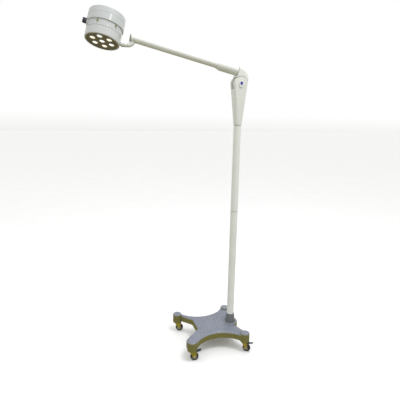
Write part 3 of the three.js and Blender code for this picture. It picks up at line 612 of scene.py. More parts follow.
def moulded(name, colour, rough, coat=0.0, depth=0.00003):
    """Moulded plastic with a fine spark-eroded grain."""
    nodes = Nodes(name)
    base = nodes.ramp(nodes.noise(60.0), (0.3, tuple(c * 0.85 for c in colour)), (0.7, colour))
    scuffs = nodes.ramp(nodes.noise(260.0, 5.0, 0.7), (0.60, (0, 0, 0)), (0.72, (0.25, 0.25, 0.25)))
    paler = tuple(min(1.0, c + 0.10) for c in colour)
    nodes.bump((nodes.noise(1800.0, 2.0), depth))
    roughness = nodes.span(nodes.noise(300.0), rough - 0.06, rough + 0.08)
    worn = nodes.blend(scuffs, base, paler)
    return nodes.set(Base_Color=worn, Roughness=roughness, Coat_Weight=coat, Coat_Roughness=0.08)


def rubber(name):
    nodes = Nodes(name)
    black, dusty = (0.012, 0.012, 0.012), (0.06, 0.058, 0.052)
    dust_and_gap_shade = nodes.ramp(nodes.noise(120.0, 5.0, 0.65), (0.45, black), (0.8, dusty))
    nodes.bump((nodes.noise(1500.0, 3.0), 0.00006))
    return nodes.set(Base_Color=dust_and_gap_shade, Roughness=nodes.span(nodes.noise(220.0), 0.6, 0.85))


def turned_metal(name, colour, rough, stretch=(1, 1, 60)):
    """Bare metal with fine tool marks round its axis."""
    nodes = Nodes(name)
    marks = nodes.noise(90.0, 4.0, 0.6, stretch)
    base = nodes.ramp(marks, (0.3, tuple(c * 0.8 for c in colour)), (0.7, colour))
    nodes.bump((marks, 0.00002))
    return nodes.set(Base_Color=base, Roughness=nodes.span(marks, rough - 0.06, rough + 0.1), Metallic=1.0)


def lacquered_plate(name):
    """The dark olive-brown plate round the lenses."""
    nodes = Nodes(name)
    base = nodes.ramp(nodes.noise(30.0, 4.0), (0.3, (0.130, 0.098, 0.042)), (0.7, (0.185, 0.145, 0.066)))
    nodes.bump((nodes.noise(1200.0, 2.0), 0.00003))
    nodes.set(Roughness=nodes.span(nodes.noise(80.0), 0.25, 0.42))
    return nodes.set(Base_Color=base, Metallic=0.35, Coat_Weight=0.3, Coat_Roughness=0.15)


def lens_glass(name, tint):
    """A moulded lens with its diode just behind it, seen as a bright white pool."""
    nodes = Nodes(name)
    base = nodes.ramp(nodes.noise(70.0), (0.3, tuple(c * 0.93 for c in tint)), (0.7, tint))
    nodes.bump((nodes.cells(900.0), 0.00004))
    nodes.set(Base_Color=base, Roughness=0.12, Coat_Weight=0.6, Coat_Roughness=0.03)
    return nodes.set(Emission_Color=tint, Emission_Strength=0.75)


def circuit_board(name):
    nodes = Nodes(name)
    tracks = nodes.cells(160.0)
    base = nodes.ramp(tracks, (0.05, (0.10, 0.30, 0.12)), (0.2, (0.02, 0.12, 0.05)))
    nodes.bump((tracks, 0.00002))
    return nodes.set(Base_Color=base, Roughness=nodes.span(nodes.noise(100.0), 0.3, 0.5))


MATERIALS = {
    "cast_grey": hammered_paint("hammered grey paint"),
    # The last colour given to each painted() coat is the painted shade that darkens its gaps and corners.
    "dark_cast": painted("dark powder coat", (0.145, 0.15, 0.155), (0.04, 0.04, 0.035), 0.45, 900.0, 0.00005),
    "white_paint": painted("white powder coat", (0.78, 0.795, 0.765), (0.26, 0.26, 0.20)),
    "lamp_paint": painted("light grey housing paint", (0.52, 0.54, 0.54), (0.26, 0.26, 0.22)),
    "ring_paint": painted("light grey ring paint", (0.54, 0.555, 0.545), (0.26, 0.26, 0.22)),
    "zinc": zinc_plate("bright zinc", (0.50, 0.52, 0.58), (0.60, 0.61, 0.63), (0.66, 0.66, 0.64), 0.26),
    "yellow_zinc": zinc_plate(
        "yellow zinc", (0.44, 0.42, 0.06), (0.62, 0.52, 0.09), (0.66, 0.44, 0.16), 0.28
    ),
    "polished_zinc": zinc_plate(
        "polished zinc", (0.86, 0.87, 0.88), (0.90, 0.90, 0.90), (0.93, 0.92, 0.90), 0.16
    ),
    "tyre": rubber("black rubber"),
    "grey_plastic": moulded("grey nylon", (0.26, 0.27, 0.24), 0.5),
    "pedal_plastic": moulded("dark blue-grey nylon", (0.050, 0.062, 0.095), 0.32, 0.2),
    "knob_plastic": moulded("blue-black plastic", (0.010, 0.016, 0.040), 0.22, 0.5),
    "white_plastic": moulded("glossy white plastic", (0.86, 0.87, 0.88), 0.16, 0.6),
    "badge": moulded("badge blue", (0.020, 0.035, 0.36), 0.25, 0.6),
    "olive_plate": lacquered_plate("olive-brown lacquer"),
    # An olive sheet colour that stands in for the shade inside the waist's vents: painted shade.
    "painted_vent_shade": moulded("olive painted vent shade", (0.42, 0.42, 0.24), 0.5),
    "lens": lens_glass("cool lens", (0.93, 0.96, 1.0)),
    "warm_lens": lens_glass("warm lens", (1.0, 0.955, 0.87)),
    "board": circuit_board("circuit board"),
    "heat_sink": turned_metal("extruded aluminium", (0.60, 0.61, 0.62), 0.38, (1, 40, 1)),
    "bronze": turned_metal("sintered bronze", (0.52, 0.36, 0.15), 0.4),
    "steel": turned_metal("turned steel", (0.44, 0.45, 0.46), 0.3),
}

# ---- base ----


def concave_side(apex, degrees):
    """The circle that touches the feet's circles and comes within apex of the middle."""
    depth = FOOT_REACH - apex
    radius = (FOOT_REACH**2 + depth**2 - FOOT_R**2) / (2 * (depth + FOOT_R))
    angle = math.radians(degrees)
    return Vector(((apex + radius) * math.cos(angle), (apex + radius) * math.sin(angle))), radius


def bearing(start, end):
    return math.degrees(math.atan2(end.y - start.y, end.x - start.x))


def drawn_in(corners, inset):
    """An open line of (x, y, fillet) corners, shifted to the left of the way it runs."""
    points = [Vector(corner[:2]) for corner in corners]
    ways = [(after - before).normalized() for before, after in zip(points, points[1:])]
    lefts = [Vector((-way.y, way.x)) for way in ways]
    shifted = [(*(points[0] + lefts[0] * inset), 0)]
    for i in range(1, len(ways)):
        miter = (lefts[i - 1] + lefts[i]) / (1 + ways[i - 1].dot(ways[i]))
        hollow = 1 if ways[i - 1].cross(ways[i]) < 0 else -1
        shifted.append((*(points[i] + miter * inset), corners[i][2] + hollow * inset))
    shifted.append((*(points[-1] + lefts[-1] * inset), 0))
    return shifted


def base_plan(inset, foot_steps=20, side_steps=40):
    """The base's outline drawn in by an inset: round feet joined by three concave sides and the notch."""
    points = []
    rear_left, front_left = 1, 2
    for i in range(4):
        if i == rear_left:
            points.extend(filleted(drawn_in(NOTCH_CORNERS, inset), False, 12)[:-1])
            continue
        angle = math.radians(45 + 90 * i)
        foot = Vector((math.cos(angle), math.sin(angle))) * FOOT_REACH * math.sqrt(2)
        here = concave_side(LONG_SIDE if i else POLE_SIDE, 90 * i)[0]
        following, radius = concave_side(POLE_SIDE if i == 3 else LONG_SIDE, 90 * (i + 1))
        start = 180 if i == front_left else bearing(foot, here)
        end = bearing(foot, following)
        if end < start:
            end += 360
        foot_arc = arc(foot.x, foot.y, FOOT_R - inset, start, end, foot_steps)
        points.extend(foot_arc if i == front_left else foot_arc[1:])
        next_foot = Vector((foot.x, foot.y))
        next_foot.rotate(Matrix.Rotation(math.radians(90), 2))
        start, end = bearing(following, foot), bearing(following, next_foot)
        if end > start:
            end -= 360
        points.extend(arc(following.x, following.y, radius + inset, start, end, side_steps)[1:])
    return points


FEET = [(x * FOOT_REACH, y * FOOT_REACH) for x in (-1, 1) for y in (-1, 1)]


def build_base():
    levels = [(0, WEB_BOTTOM)]
    for i in range(EDGE_STEPS + 1):
        angle = math.radians(90 * i / EDGE_STEPS)
        levels.append((WEB_EDGE * (1 - math.cos(angle)), WEB_TOP - WEB_EDGE * (1 - math.sin(angle))))
    rings = [[(x, y, z) for x, y in base_plan(inset)] for inset, z in levels]
    web = skin("base_casting_fine", rings)
    pocket = prism("pocket", base_plan(WEB_WALL), WEB_BOTTOM - 5, WEB_TOP - WEB_ROOF)
    cut(web, pocket)
    rib, rib_top = RIB_HALF, WEB_TOP - RIB_DROP
    ribs = [
        box("rib_x", (NOTCH_X + rib, -rib, WEB_BOTTOM), (POLE_SIDE - rib, rib, rib_top)),
        box("rib_y", (-rib, -LONG_SIDE + rib, WEB_BOTTOM), (rib, LONG_SIDE - rib, rib_top)),
    ]
    foot_profile = [(0, FOOT_BOTTOM), (FOOT_R, FOOT_BOTTOM, 1.5), (FOOT_R, FOOT_TOP, 8), (0, FOOT_TOP)]
    feet = [moved(lathe("foot", foot_profile, 72), shift(x, y, 0)) for x, y in FEET]
    boss = lathe("boss", [(0, WEB_BOTTOM), (BOSS_R, WEB_BOTTOM), (BOSS_R, BOSS_TOP, 5), (0, BOSS_TOP)])
    joined(web, *ribs, *feet, moved(boss, shift(-BASE_X, 0, 0)))
    bores = [hole(STEM_BORE_R, 0, STEM_TOP + 1, shift(x, y, 0)) for x, y in FEET]
    head_bore = rod("head_bore", BOLT_HEAD_R + 2, 60, WEB_BOTTOM + 12)
    bolt_bore = joined(rod("bolt_bore", BOLT_BORE_R, 60, 130), head_bore)
    cut(web, *bores, moved(bolt_bore, shift(-BASE_X, 0, 0)))
    stands_for("base_casting", web, BASE, 28)

    hexagon = circle(0, 0, BOLT_HEAD_R, 6)
    bolt = eased(prism("base_bolt_fine", hexagon, BOLT_HEAD_TOP - 8, BOLT_HEAD_TOP), 0.8)
    joined(bolt, rod("shank", 6.4, 80, 123, 48, 0.6))
    stands_for("base_bolt", bolt, POLE)

    socket = [
        (BOLT_BORE_R, BOSS_TOP + GAP),
        (30.5, BOSS_TOP + GAP, 1.5),
        (30.5, BOSS_TOP + 5, 2),
        (24.5, SOCKET_TOP, 2),
        (SOCKET_BORE_R, SOCKET_TOP, 0.6),
        (SOCKET_BORE_R, BOSS_TOP + 10.3),
        (BOLT_BORE_R, BOSS_TOP + 10.3),
    ]
    stands_for("pole_socket", lathe("pole_socket_fine", socket), POLE)


# ---- casters ----


def caster_stem():
    profile = [
        (0, CROWN_BOTTOM - 3),
        (RIVET_R, CROWN_BOTTOM - 3, 1.5),
        (RIVET_R, CROWN_BOTTOM - GAP),
        (STEM_R, CROWN_BOTTOM - GAP),
        (STEM_R, CROWN_TOP + GAP),
        (CROWN_R - 0.4, CROWN_TOP + GAP, 1.8),
        (CROWN_R - 0.1, FOOT_BOTTOM - GAP, 0.5),
        (STEM_R, FOOT_BOTTOM - GAP),
        (STEM_R, STEM_TOP, 1),
        (0, STEM_TOP),
    ]
    return lathe("stem", profile, 72)


def fork_leg_outline():
    corners = [
        (-11, CROWN_TOP, 2),
        (-11, 50, 6),
        (TRAIL - 8, WHEEL_R + 2, 4),
        *arc(TRAIL, WHEEL_R, 8, 190, 345, 16),
        (PEDAL_X + 5, PEDAL_Z - 2, 3),
        *arc(PEDAL_X, PEDAL_Z, 5, 0, 90, 6),
        (12, CROWN_TOP),
    ]
    return filleted(corners)


def caster_fork(brake):
    outline = fork_leg_outline()
    sides = ((-FORK_OUTSIDE, -FORK_INSIDE), (FORK_INSIDE, FORK_OUTSIDE))
    legs = [plate("leg", outline, low, high) for low, high in sides]
    crown_profile = [
        (0, CROWN_BOTTOM),
        (CROWN_R, CROWN_BOTTOM, 0.8),
        (CROWN_R, CROWN_TOP - 1.5, 1),
        (12, CROWN_TOP, 0.5),
        (0, CROWN_TOP),
    ]
    crown = joined(lathe("fork", crown_profile, 72), *legs)
    axle_bore = hole(AXLE_R + GAP, -20, 20, shift(TRAIL, 0, WHEEL_R) @ ALONG_Y, 32)
    cut(crown, rod("hole", STEM_R + 0.1, 40, 70, 40), axle_bore)
    if brake:
        cut(crown, hole(HINGE_R + 0.12, -20, 20, shift(PEDAL_X, 0, PEDAL_Z) @ ALONG_Y, 32))
    return eased(crown, 0.35, 2, 50)


def mirrored(half):
    """A profile's lower half with its upper half added."""
    return half + [(corner[0], -corner[1], *corner[2:]) for corner in reversed(half)]


def caster_axle():
    end = FORK_OUTSIDE + GAP
    cap_end = end + 2.2
    half = [(0, -cap_end), (5, -cap_end, 1.2), (5, -end), (AXLE_R, -end)]
    return lathe("axle", mirrored(half), 40)


def caster_hub():
    half = [(AXLE_R + RUN, -10.5), (6.8, -10.5, 0.6), (7.2, -7.2, 1), (13, -7.0, 1), (HUB_R, -8.5, 0.3)]
    hub = lathe("hub", mirrored(half), 72)
    pockets = []
    for low, high in ((-9, -6.2), (6.2, 9)):
        for i in range(HUB_POCKETS):
            pockets.append(hole(2.1, low, high, turn(360 / HUB_POCKETS * i, "Z") @ shift(10, 0, 0), 24))
    return cut(hub, *pockets)


def caster_tyre():
    half = [
        (HUB_R + GAP, -8.4, 0.4),
        (17.2, -8.9, 0.5),
        (18.2, -8.3, 0.4),
        (WHEEL_R - 3, -8.9, 1),
        (WHEEL_R, -5, 3),
    ]
    return lathe("tyre", mirrored(half), 96)


def brake_pedal():
    x, z = PEDAL_X, PEDAL_Z
    outline = filleted(
        [
            (x - 1, z - 2, 1),
            (x + 6, z - 6.5, 1),
            (x + 9, z - 6, 1),
            (x + 9, z, 3),
            (x + 30, z + 8.5, 3),
            (x + 34, z + 8, 0.8),
            (x + 34, z + 11.3, 1.2),
            (x + 29, z + 11.8, 3),
            (x + 8, z + 4, 3),
            (x - 1, z + 2, 1),
        ]
    )
    pedal = eased(plate("pedal", outline, -9.3, 9.3), 0.8)
    to_hinge = shift(x, 0, z) @ ALONG_Y
    joined(
        pedal,
        moved(rod("hub", HINGE_R + 0.9, -11.2, 11.2, 40, 0.5), to_hinge),
        moved(rod("pin", HINGE_R, -FORK_OUTSIDE + 0.1, FORK_OUTSIDE - 0.1, 32, 0.4), to_hinge),
    )
    grooves = [
        plate("tread", circle(x + 14.5 + 3.4 * i, z + 7.2 + 1.28 * i, 0.7, 12), -7, 7) for i in range(TREADS)
    ]
    return cut(pedal, *grooves)


def build_casters():
    for name in ("front_left", "front_right", "rear_left", "rear_right"):
        brake = name.startswith("front")
        swivel = Vector(JOINTS["caster_swivel_" + name]["pos_m"])
        wheel = Vector(JOINTS["wheel_spin_" + name]["pos_m"])
        heading = math.degrees(math.atan2(wheel.y - swivel.y, wheel.x - swivel.x))
        foot = Matrix.Translation((swivel.x, swivel.y, 0)) @ turn(heading, "Z")
        spin = foot @ shift(TRAIL, 0, WHEEL_R) @ ALONG_Y
        parts = [
            ("caster_stem_", caster_stem(), foot),
            ("caster_fork_", caster_fork(brake), foot),
            ("caster_axle_", caster_axle(), spin),
            ("caster_hub_", caster_hub(), spin),
            ("caster_tyre_", caster_tyre(), spin),
        ]
        if brake:
            parts.append(("brake_pedal_", brake_pedal(), foot))
        for part, piece, place in parts:
            piece.name = part + name + "_fine"
            stands_for(part + name, piece, place)


# ---- pole and column ----


def build_pole():
    floor = BOSS_TOP + 2 * GAP + 10
    groove = (POLE_JOINT - POLE_GROOVE / 2, POLE_JOINT + POLE_GROOVE / 2)
    for node, low, high in (("lower_pole", floor, groove[0]), ("upper_pole", groove[1], POLE_TOP)):
        stands_for(node, ring(node + "_fine", POLE_BORE, POLE_R, low, high, 96, 0.5), POLE)
    spigot = [
        (0, POLE_TOP - 60),
        (POLE_BORE - GAP, POLE_TOP - 60, 1),
        (POLE_BORE - GAP, POLE_TOP + GAP),
        (POLE_R, POLE_TOP + GAP, 0.4),
        (POLE_R, HEAD_BOTTOM - GAP, 0.4),
        (SPINDLE_R, HEAD_BOTTOM - GAP),
        (SPINDLE_R, SPINDLE_TOP, 1.5),
        (0, SPINDLE_TOP),
    ]
    stands_for("top_spigot", lathe("top_spigot_fine", spigot), POLE)


def rounded_ring(x, y, corner, z, steps=10):
    """A level rounded rectangle of half-sizes x and y."""
    points = []
    for quarter in range(4):
        centre_x = (x - corner) * (1 if quarter in (0, 3) else -1)
        centre_y = (y - corner) * (1 if quarter < 2 else -1)
        points.extend(arc(centre_x, centre_y, corner, 90 * quarter, 90 * quarter + 90, steps))
    return [(px, py, z) for px, py in points]


def build_column():
    levels = []
    for i in range(EDGE_STEPS + 1):
        t = i / EDGE_STEPS
        sizes = [COLUMN_FOOT_R + (end - COLUMN_FOOT_R) * t for end in (37.0, 33.0, 8.0)]
        levels.append(rounded_ring(*sizes, HEAD_BOTTOM + (SHOULDER_Z - HEAD_BOTTOM) * t))
    levels.append(rounded_ring(CHEEK_R, CHEEK_Y, 8, PIVOT_Z))
    levels.append(rounded_ring(CHEEK_R, CHEEK_Y, 8, PIVOT_Z + CHEEK_R + 1))
    body = skin("column_head_fine", levels)
    keyhole = [(-60, PIVOT_Z), (-60, HEAD_BOTTOM - 10), (60, HEAD_BOTTOM - 10), (60, PIVOT_Z)]
    cheek_arc = arc(0, PIVOT_Z, CHEEK_R, 0, 180, 64)[:-1]
    kept(body, plate("keep", [(-CHEEK_R, PIVOT_Z), *keyhole, *cheek_arc], -60, 60))
    cut(
        body,
        box("slot", (-60, -SLOT_HALF, SLOT_BOTTOM), (60, SLOT_HALF, PIVOT_Z + 60)),
        hole(CAVITY_R, CAVITY_BOTTOM, SLOT_BOTTOM + 1, shift(CAVITY_X, 0, 0)),
        rod("bush_bore", 15.2, HEAD_BOTTOM - 1, SPINDLE_TOP + 3),
        hole(PIVOT_R + GAP, -50, 50, shift(0, 0, PIVOT_Z) @ ALONG_Y),
    )
    stands_for("column_head", eased(body, 1.4, 4, 50), POLE)

    pin = [
        (0, -CHEEK_Y + 0.5),
        (PIVOT_R, -CHEEK_Y + 0.5),
        (PIVOT_R, CHEEK_Y + GAP),
        (15, CHEEK_Y + GAP, 0.4),
        (15, CHEEK_Y + 3.2, 1.2),
        (11, CHEEK_Y + 4, 1),
        (0, CHEEK_Y + 4),
    ]
    stands_for("pivot_pin", lathe("pivot_pin_fine", pin, 72), PIVOT @ ALONG_Y)
    build_badge()


def oval(x, z, half_x, half_z, steps=72):
    return [(x + half_x * px, z + half_z * pz) for px, pz in circle(0, 0, 1, steps)]


def build_badge():
    """An oval boss badge in the housing's colour, with a plain blue drop of no make standing on it."""
    face = -CHEEK_Y - 3
    badge = eased(plate("pivot_badge_fine", oval(0, 0, 14, 18.4), face, -CHEEK_Y - GAP), 0.7)
    cut(badge, plate("field", oval(0, 0, 12.6, 17), face - 1, face + 0.4))
    dressed(badge, PIVOT, "column", "white_paint")
    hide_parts("pivot_badge")
    drop = filleted([(0, -9.5, 1.2), (9.6, 4, 7.5), (5, 12, 4), (-5, 12, 4), (-9.6, 4, 7.5)], True, 8)
    mark = eased(plate("badge_mark", drop, face + 0.1, face + 0.5), 0.12, 2)
    dressed(mark, PIVOT, "column", "badge")


# ---- arm ----


def smooth_curve(points, steps=6):
    """A Catmull-Rom curve through points, with its end points repeated."""
    points = [Vector(p) for p in points]
    padded = [points[0], *points, points[-1]]
    curve = []
    for a, b, c, d in zip(padded, padded[1:], padded[2:], padded[3:]):
        slope = c - a
        bend = 2 * a - 5 * b + 4 * c - d
        twist = 3 * b - a - 3 * c + d
        for step in range(steps):
            t = step / steps
            curve.append(tuple((2 * b + slope * t + bend * t**2 + twist * t**3) / 2))
    curve.append(tuple(points[-1]))
    return curve


def build_knuckle():
    back = smooth_curve([(43, 18), (42, 34), (36, 53), (26, 69), (11, 82), (-7, 90.5), (-SEAM, 93)])
    dome = plate("arm_knuckle_fine", [(43, -20), *back, (-60, 97), (-60, -20)], -HOOD_HALF, HOOD_HALF)
    eased(dome, HOOD_EDGE, 10, 60)
    limit = [
        (60, 18),
        (60, 120),
        (-SEAM, 120),
        (-SEAM, ARM_HEIGHT - SLEEVE_R),
        (-33, 31),
        (-33, 20),
        (0, 8),
    ]
    kept(dome, plate("limit", limit, -40, 40))
    cut(dome, hole(RECESS_R, -40, 40, ALONG_Y, 128))
    eased(dome, 1.0, 3, 50)
    tongue = moved(rod("tongue", TONGUE_R, -TONGUE_HALF, TONGUE_HALF, 96, 1), ALONG_Y)
    joined(tongue, box("web", (-24, -TONGUE_HALF, 0), (27, TONGUE_HALF, 60)))
    to_arm = shift(0, 0, ARM_HEIGHT) @ ALONG_MINUS_X
    spigot = moved(rod("spigot", PLUG_R, SEAM - 8, 95, 64, 1), to_arm)
    joined(dome, tongue, spigot)
    cut(
        dome,
        box("groove", (-28, -5, -30), (9.5, 5, 12)),
        hole(PIVOT_R + RUN, -40, 40, ALONG_Y),
        hole(LINK_R + RUN, -40, 40, shift(-LINK_REACH, 0, 0) @ ALONG_Y, 48),
    )
    stands_for("arm_knuckle", dome, ARM, 35)


def build_arm():
    build_knuckle()
    sleeve = [
        (ARM_R + GAP, SEAM + GAP),
        (SLEEVE_R, SEAM + GAP, 2),
        (SLEEVE_R, SLEEVE_END, 12),
        (ARM_R + 1.2, SLEEVE_TIP, 0.7),
        (ARM_R + GAP, SLEEVE_TIP, 0.3),
    ]
    stands_for("arm_sleeve", lathe("arm_sleeve_fine", sleeve, 96, 8), ARM_AXIS @ ALONG_MINUS_X)
    to_leg = shift(-LEG_AT, 0, 0)
    tube = moved(ring("arm_tube_fine", ARM_R - 2, ARM_R, ARM_START, ARM_END, 96, 0.5), ALONG_MINUS_X)
    cut(tube, hole(BRACKET_R + LEG_PLAY, -ARM_R - 5, -8, to_leg))
    stands_for("arm_tube", tube, ARM_AXIS)
    plug_profile = [
        (0, PLUG_START),
        (PLUG_R, PLUG_START, 1),
        (PLUG_R, ARM_END + GAP),
        (ARM_R, ARM_END + GAP, 0.4),
        (ARM_R, ARM_END + 3, 1.4),
        (0, ARM_END + 3),
    ]
    plug = moved(lathe("arm_end_plug_fine", plug_profile), ALONG_MINUS_X)
    cut(
        plug,
        hole(BRACKET_R + RUN, -30, 4.3, to_leg),
        hole(BRACKET_R + LEG_PLAY, -30, -LEG_STRAIGHT, to_leg),
        hole(STUD_R + RUN, 0, 20, to_leg),
        hole(12, 8, 30, to_leg),
    )
    stands_for("arm_end_plug", plug, ARM_AXIS)


def build_balance_rod():
    profile = [
        (0, -ROD_LENGTH),
        (ROD_R, -ROD_LENGTH, 1),
        (ROD_R, -COLLAR_DROP),
        (9.5, -COLLAR_DROP, 0.6),
        (9.5, -COLLAR_DROP + 4, 0.6),
        (ROD_R, -COLLAR_DROP + 4),
        (ROD_R, -2),
        (0, -2),
    ]
    stem = lathe("balance_rod_fine", profile, 64)
    eye = moved(rod("eye", 7, -4.2, 4.2, 64, 0.5), ALONG_Y)
    pin = moved(rod("pin", LINK_R, -15.5, 15.5), ALONG_Y)
    stands_for("balance_rod", joined(stem, eye, pin), at("balance_link"))


def build_balance_spring():
    """A coil spring under the rod's collar, which the arm presses together as it swings down; the mesh is
    drawn at one length only.
    """
    link_z = JOINTS["balance_link"]["pos_m"][2] / MM
    seat = CAVITY_BOTTOM + SPRING_WIRE + GAP
    collar = link_z - COLLAR_DROP - SPRING_WIRE - GAP
    rise = (collar - seat) / (SPRING_TURNS * 2 * math.pi)
    rings = []
    for step in range(SPRING_TURNS * SPRING_STEPS + 1):
        angle = 2 * math.pi * step / SPRING_STEPS
        outward = Vector((math.cos(angle), math.sin(angle), 0))
        along = Vector((-SPRING_R * outward.y, SPRING_R * outward.x, rise)).normalized()
        across = along.cross(outward)
        centre = outward * SPRING_R + Vector((CAVITY_X, 0, seat + rise * angle))
        rings.append([centre + outward * x + across * y for x, y in circle(0, 0, SPRING_WIRE, 12)])
    spring = skin("balance_spring_fine", rings)
    stands_for("balance_spring", spring, POLE)
    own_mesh(spring)


# ---- bracket ----


def swept(name, points, radius, sides=48):
    """A round bar along points in the XZ plane."""
    rings = []
    for i, point in enumerate(points):
        before = points[max(i - 1, 0)]
        after = points[min(i + 1, len(points) - 1)]
        along = Vector((after[0] - before[0], 0, after[1] - before[1])).normalized()
        across = along.cross(Vector((0, 1, 0)))
        centre = Vector((point[0], 0, point[1]))
        rings.append([centre + across * x + Vector((0, y, 0)) for x, y in circle(0, 0, radius, sides)])
    return skin(name, rings)


def build_bracket():
    """The tube that drops out of the arm's end and bends level to the clevis, with its nut inside the arm."""
    pin = LEG.inverted() @ Vector(JOINTS["head_tilt"]["pos_m"]) / MM
    outward = Vector((-math.cos(math.radians(ARM_PITCH)), -math.sin(math.radians(ARM_PITCH))))
    drop = -pin.z + outward.y * (pin.x / outward.x)
    reach = pin.x / outward.x - BRACKET_END
    turned = math.radians(90 - ARM_PITCH)
    bend_top = -drop + BEND_R * math.tan(turned / 2)
    points = [(0, 4), (0, 0), (0, bend_top + 0.01)]
    for step in range(1, BEND_STEPS + 1):
        angle = turned * step / BEND_STEPS
        points.append((-BEND_R + BEND_R * math.cos(angle), bend_top - BEND_R * math.sin(angle)))
    end = Vector((outward.x * reach, -drop + outward.y * reach))
    points.append(tuple(end))
    tube = eased(swept("bent_tube_fine", points, BRACKET_R), 0.5, 2, 60)
    stud = swept("stud", [tuple(end - outward * 2), tuple(end + outward * 10)], STUD_R)
    joined(tube, rod("top_stud", STUD_R, 0, NUT_TOP), stud)
    stands_for("bent_tube", tube, LEG, 35)
    nut = eased(prism("bracket_nut_fine", circle(0, 0, 10.6, 6), 8.3, NUT_TOP), 0.5)
    stands_for("bracket_nut", cut(nut, rod("bore", STUD_R + GAP, 0, 20)), LEG)


def build_clevis():
    outline = [*arc(0, 0, EAR_R, 90, 270, 32), (12, -EAR_R), (12, EAR_R)]
    ears = []
    for low, high in ((-EAR_OUTSIDE, -EAR_INSIDE), (EAR_INSIDE, EAR_OUTSIDE)):
        tube_round = moved(rod("ear_round", BRACKET_R, -EAR_R - 2, 13, 96), ALONG_X)
        ears.append(kept(plate("ear", outline, low, high), tube_round))
    sleeve = moved(rod("tilt_clevis_fine", BRACKET_R, 10.5, BRACKET_END - 0.4, 72, 0.8), ALONG_X)
    joined(sleeve, *ears)
    cut(
        sleeve,
        hole(STUD_R + RUN, BRACKET_END - 10.3, 30, ALONG_X),
        hole(TILT_PIN_R + GAP, -20, 20, ALONG_Y, 40),
    )
    stands_for("tilt_clevis", eased(sleeve, 0.6, 3, 50), CLEVIS)
    half = EAR_OUTSIDE + 1.5
    stands_for("tilt_pin", rod("tilt_pin_fine", TILT_PIN_R, -half, half, 40, 0.7), CLEVIS @ ALONG_Y)


# ---- lamp head ----


def spoke(angle, z, radius=0):
    """A frame whose Z points outwards at an angle round the head."""
    return turn(angle, "Z") @ shift(radius, 0, z) @ ALONG_X


def screw(name, angle, z, radius):
    """A small pan-head screw with a cross slot, standing on a curved wall of the head."""
    size = SCREW_R
    head = lathe(name, [(0, -1), (size, -1), (size, 0.5, 0.4), (size * 0.5, 1.1, 0.3), (0, 1.1)], 32)
    slots = [box("slot", (-size * 0.6, -0.35, 0.5), (size * 0.6, 0.35, 2)) for _ in range(2)]
    slots[1].data.transform(turn(90, "Z"))
    cut(head, *slots)
    dressed(moved(head, spoke(angle, z, radius)), HEAD, "head", "zinc", look="polished_zinc")


def boss_hole(sides=96):
    return hole(DIMMER_R + GAP, 60, 110, spoke(DIMMER_ANGLE, DIMMER_Z), sides)


def build_lower_ring():
    profile = [
        (FACE_R, 0.4, 0.4),
        (RING_R, 0, 3.2),
        (RING_R, RING_TOP, 0.8),
        (RING_R - 3, RING_TOP, 0.4),
        (RING_R - 3, 2.5),
        (FACE_R, 2.5, 0.4),
    ]
    lower = lathe("lower_ring_fine", profile, 192)
    to_lug = shift(LUG_X, 0, LUG_Z) @ ALONG_Y
    lug = moved(rod("lug", LUG_R, -LUG_HALF, LUG_HALF, 64, 0.6), to_lug)
    joined(lug, box("lug_root", (RING_R - 2, -LUG_HALF, LUG_Z - LUG_R), (LUG_X, LUG_HALF, LUG_Z + LUG_R)))
    joined(lower, lug)
    cut(lower, hole(TILT_PIN_R + RUN, -20, 20, to_lug, 40))
    stands_for("lower_ring", lower, HEAD)


def build_waist():
    profile = [
        (WAIST_R - 3, RING_TOP + GAP),
        (WAIST_R, RING_TOP + GAP, 0.8),
        (WAIST_R, COVER_RIM - 2.5, 2),
        (COVER_R - 3, COVER_RIM + 0.6, 0.4),
        (COVER_R - 3, WAIST_TOP, 0.6),
        (WAIST_R - 3, WAIST_TOP, 0.4),
    ]
    waist = lathe("waist_housing_fine", profile, 192)
    outline = filleted([(-5.5, 52, 5), (5.5, 52, 5), (5.5, 71, 5), (-5.5, 71, 5)])
    vents = []
    for i in range(1, 6):
        vent = plate("vent", outline, WAIST_R - 10, WAIST_R + 2)
        vents.append(moved(vent, turn(DIMMER_ANGLE + 60 * i - 90, "Z")))
    stands_for("waist_housing", cut(waist, *vents, boss_hole()), HEAD)


def build_cover():
    """The upper cover with the strip over its joint, and an olive sheet behind the waist's vents that stands
    in for the shade inside them: painted shade.
    """
    profile = [
        (0, COVER_TOP - 2.5),
        (COVER_R - 7, COVER_TOP - 2.5, 2),
        (COVER_R - 2.7, COVER_TOP - 7, 2),
        (COVER_R - 2.7, COVER_RIM, 0.2),
        (COVER_R, COVER_RIM, 2.3),
        (COVER_R, TIER_Z - 0.9, 0.6),
        (COVER_R - 0.9, TIER_Z - 0.3, 0.2),
        (COVER_R - 0.9, TIER_Z + 0.3, 0.2),
        (COVER_R - 0.3, TIER_Z + 0.9, 0.4),
        (COVER_R - 0.6, COVER_TOP, 5),
        (0, COVER_TOP),
    ]
    stands_for("upper_cover", cut(lathe("upper_cover_fine", profile, 192, 8), boss_hole()), HEAD)
    joint = filleted([(-4, COVER_RIM + 1), (4, COVER_RIM + 1), (4, TIER_Z - 2, 2), (-4, TIER_Z - 2, 2)])
    strip = eased(plate("cover_joint_strip", joint, COVER_R - 1.5, COVER_R + 1.2), 0.4)
    # The strip over the joint takes the lighter white paint so that it shows as a bright band along the seam:
    # its lighter tone is a painted highlight.
    dressed(moved(strip, turn(SEAM_ANGLE - 90, "Z")), HEAD, "head", "white_paint")
    # Painted shade: an olive sheet just inside the waist, seen through the vents in place of the shade within
    # them.
    painted_vent_shade = ring("vent_shade_sheet", WAIST_R - 4.2, WAIST_R - 3.4, 47, 75, 144)
    dressed(cut(painted_vent_shade, boss_hole(64)), HEAD, "head", "olive_plate", look="painted_vent_shade")


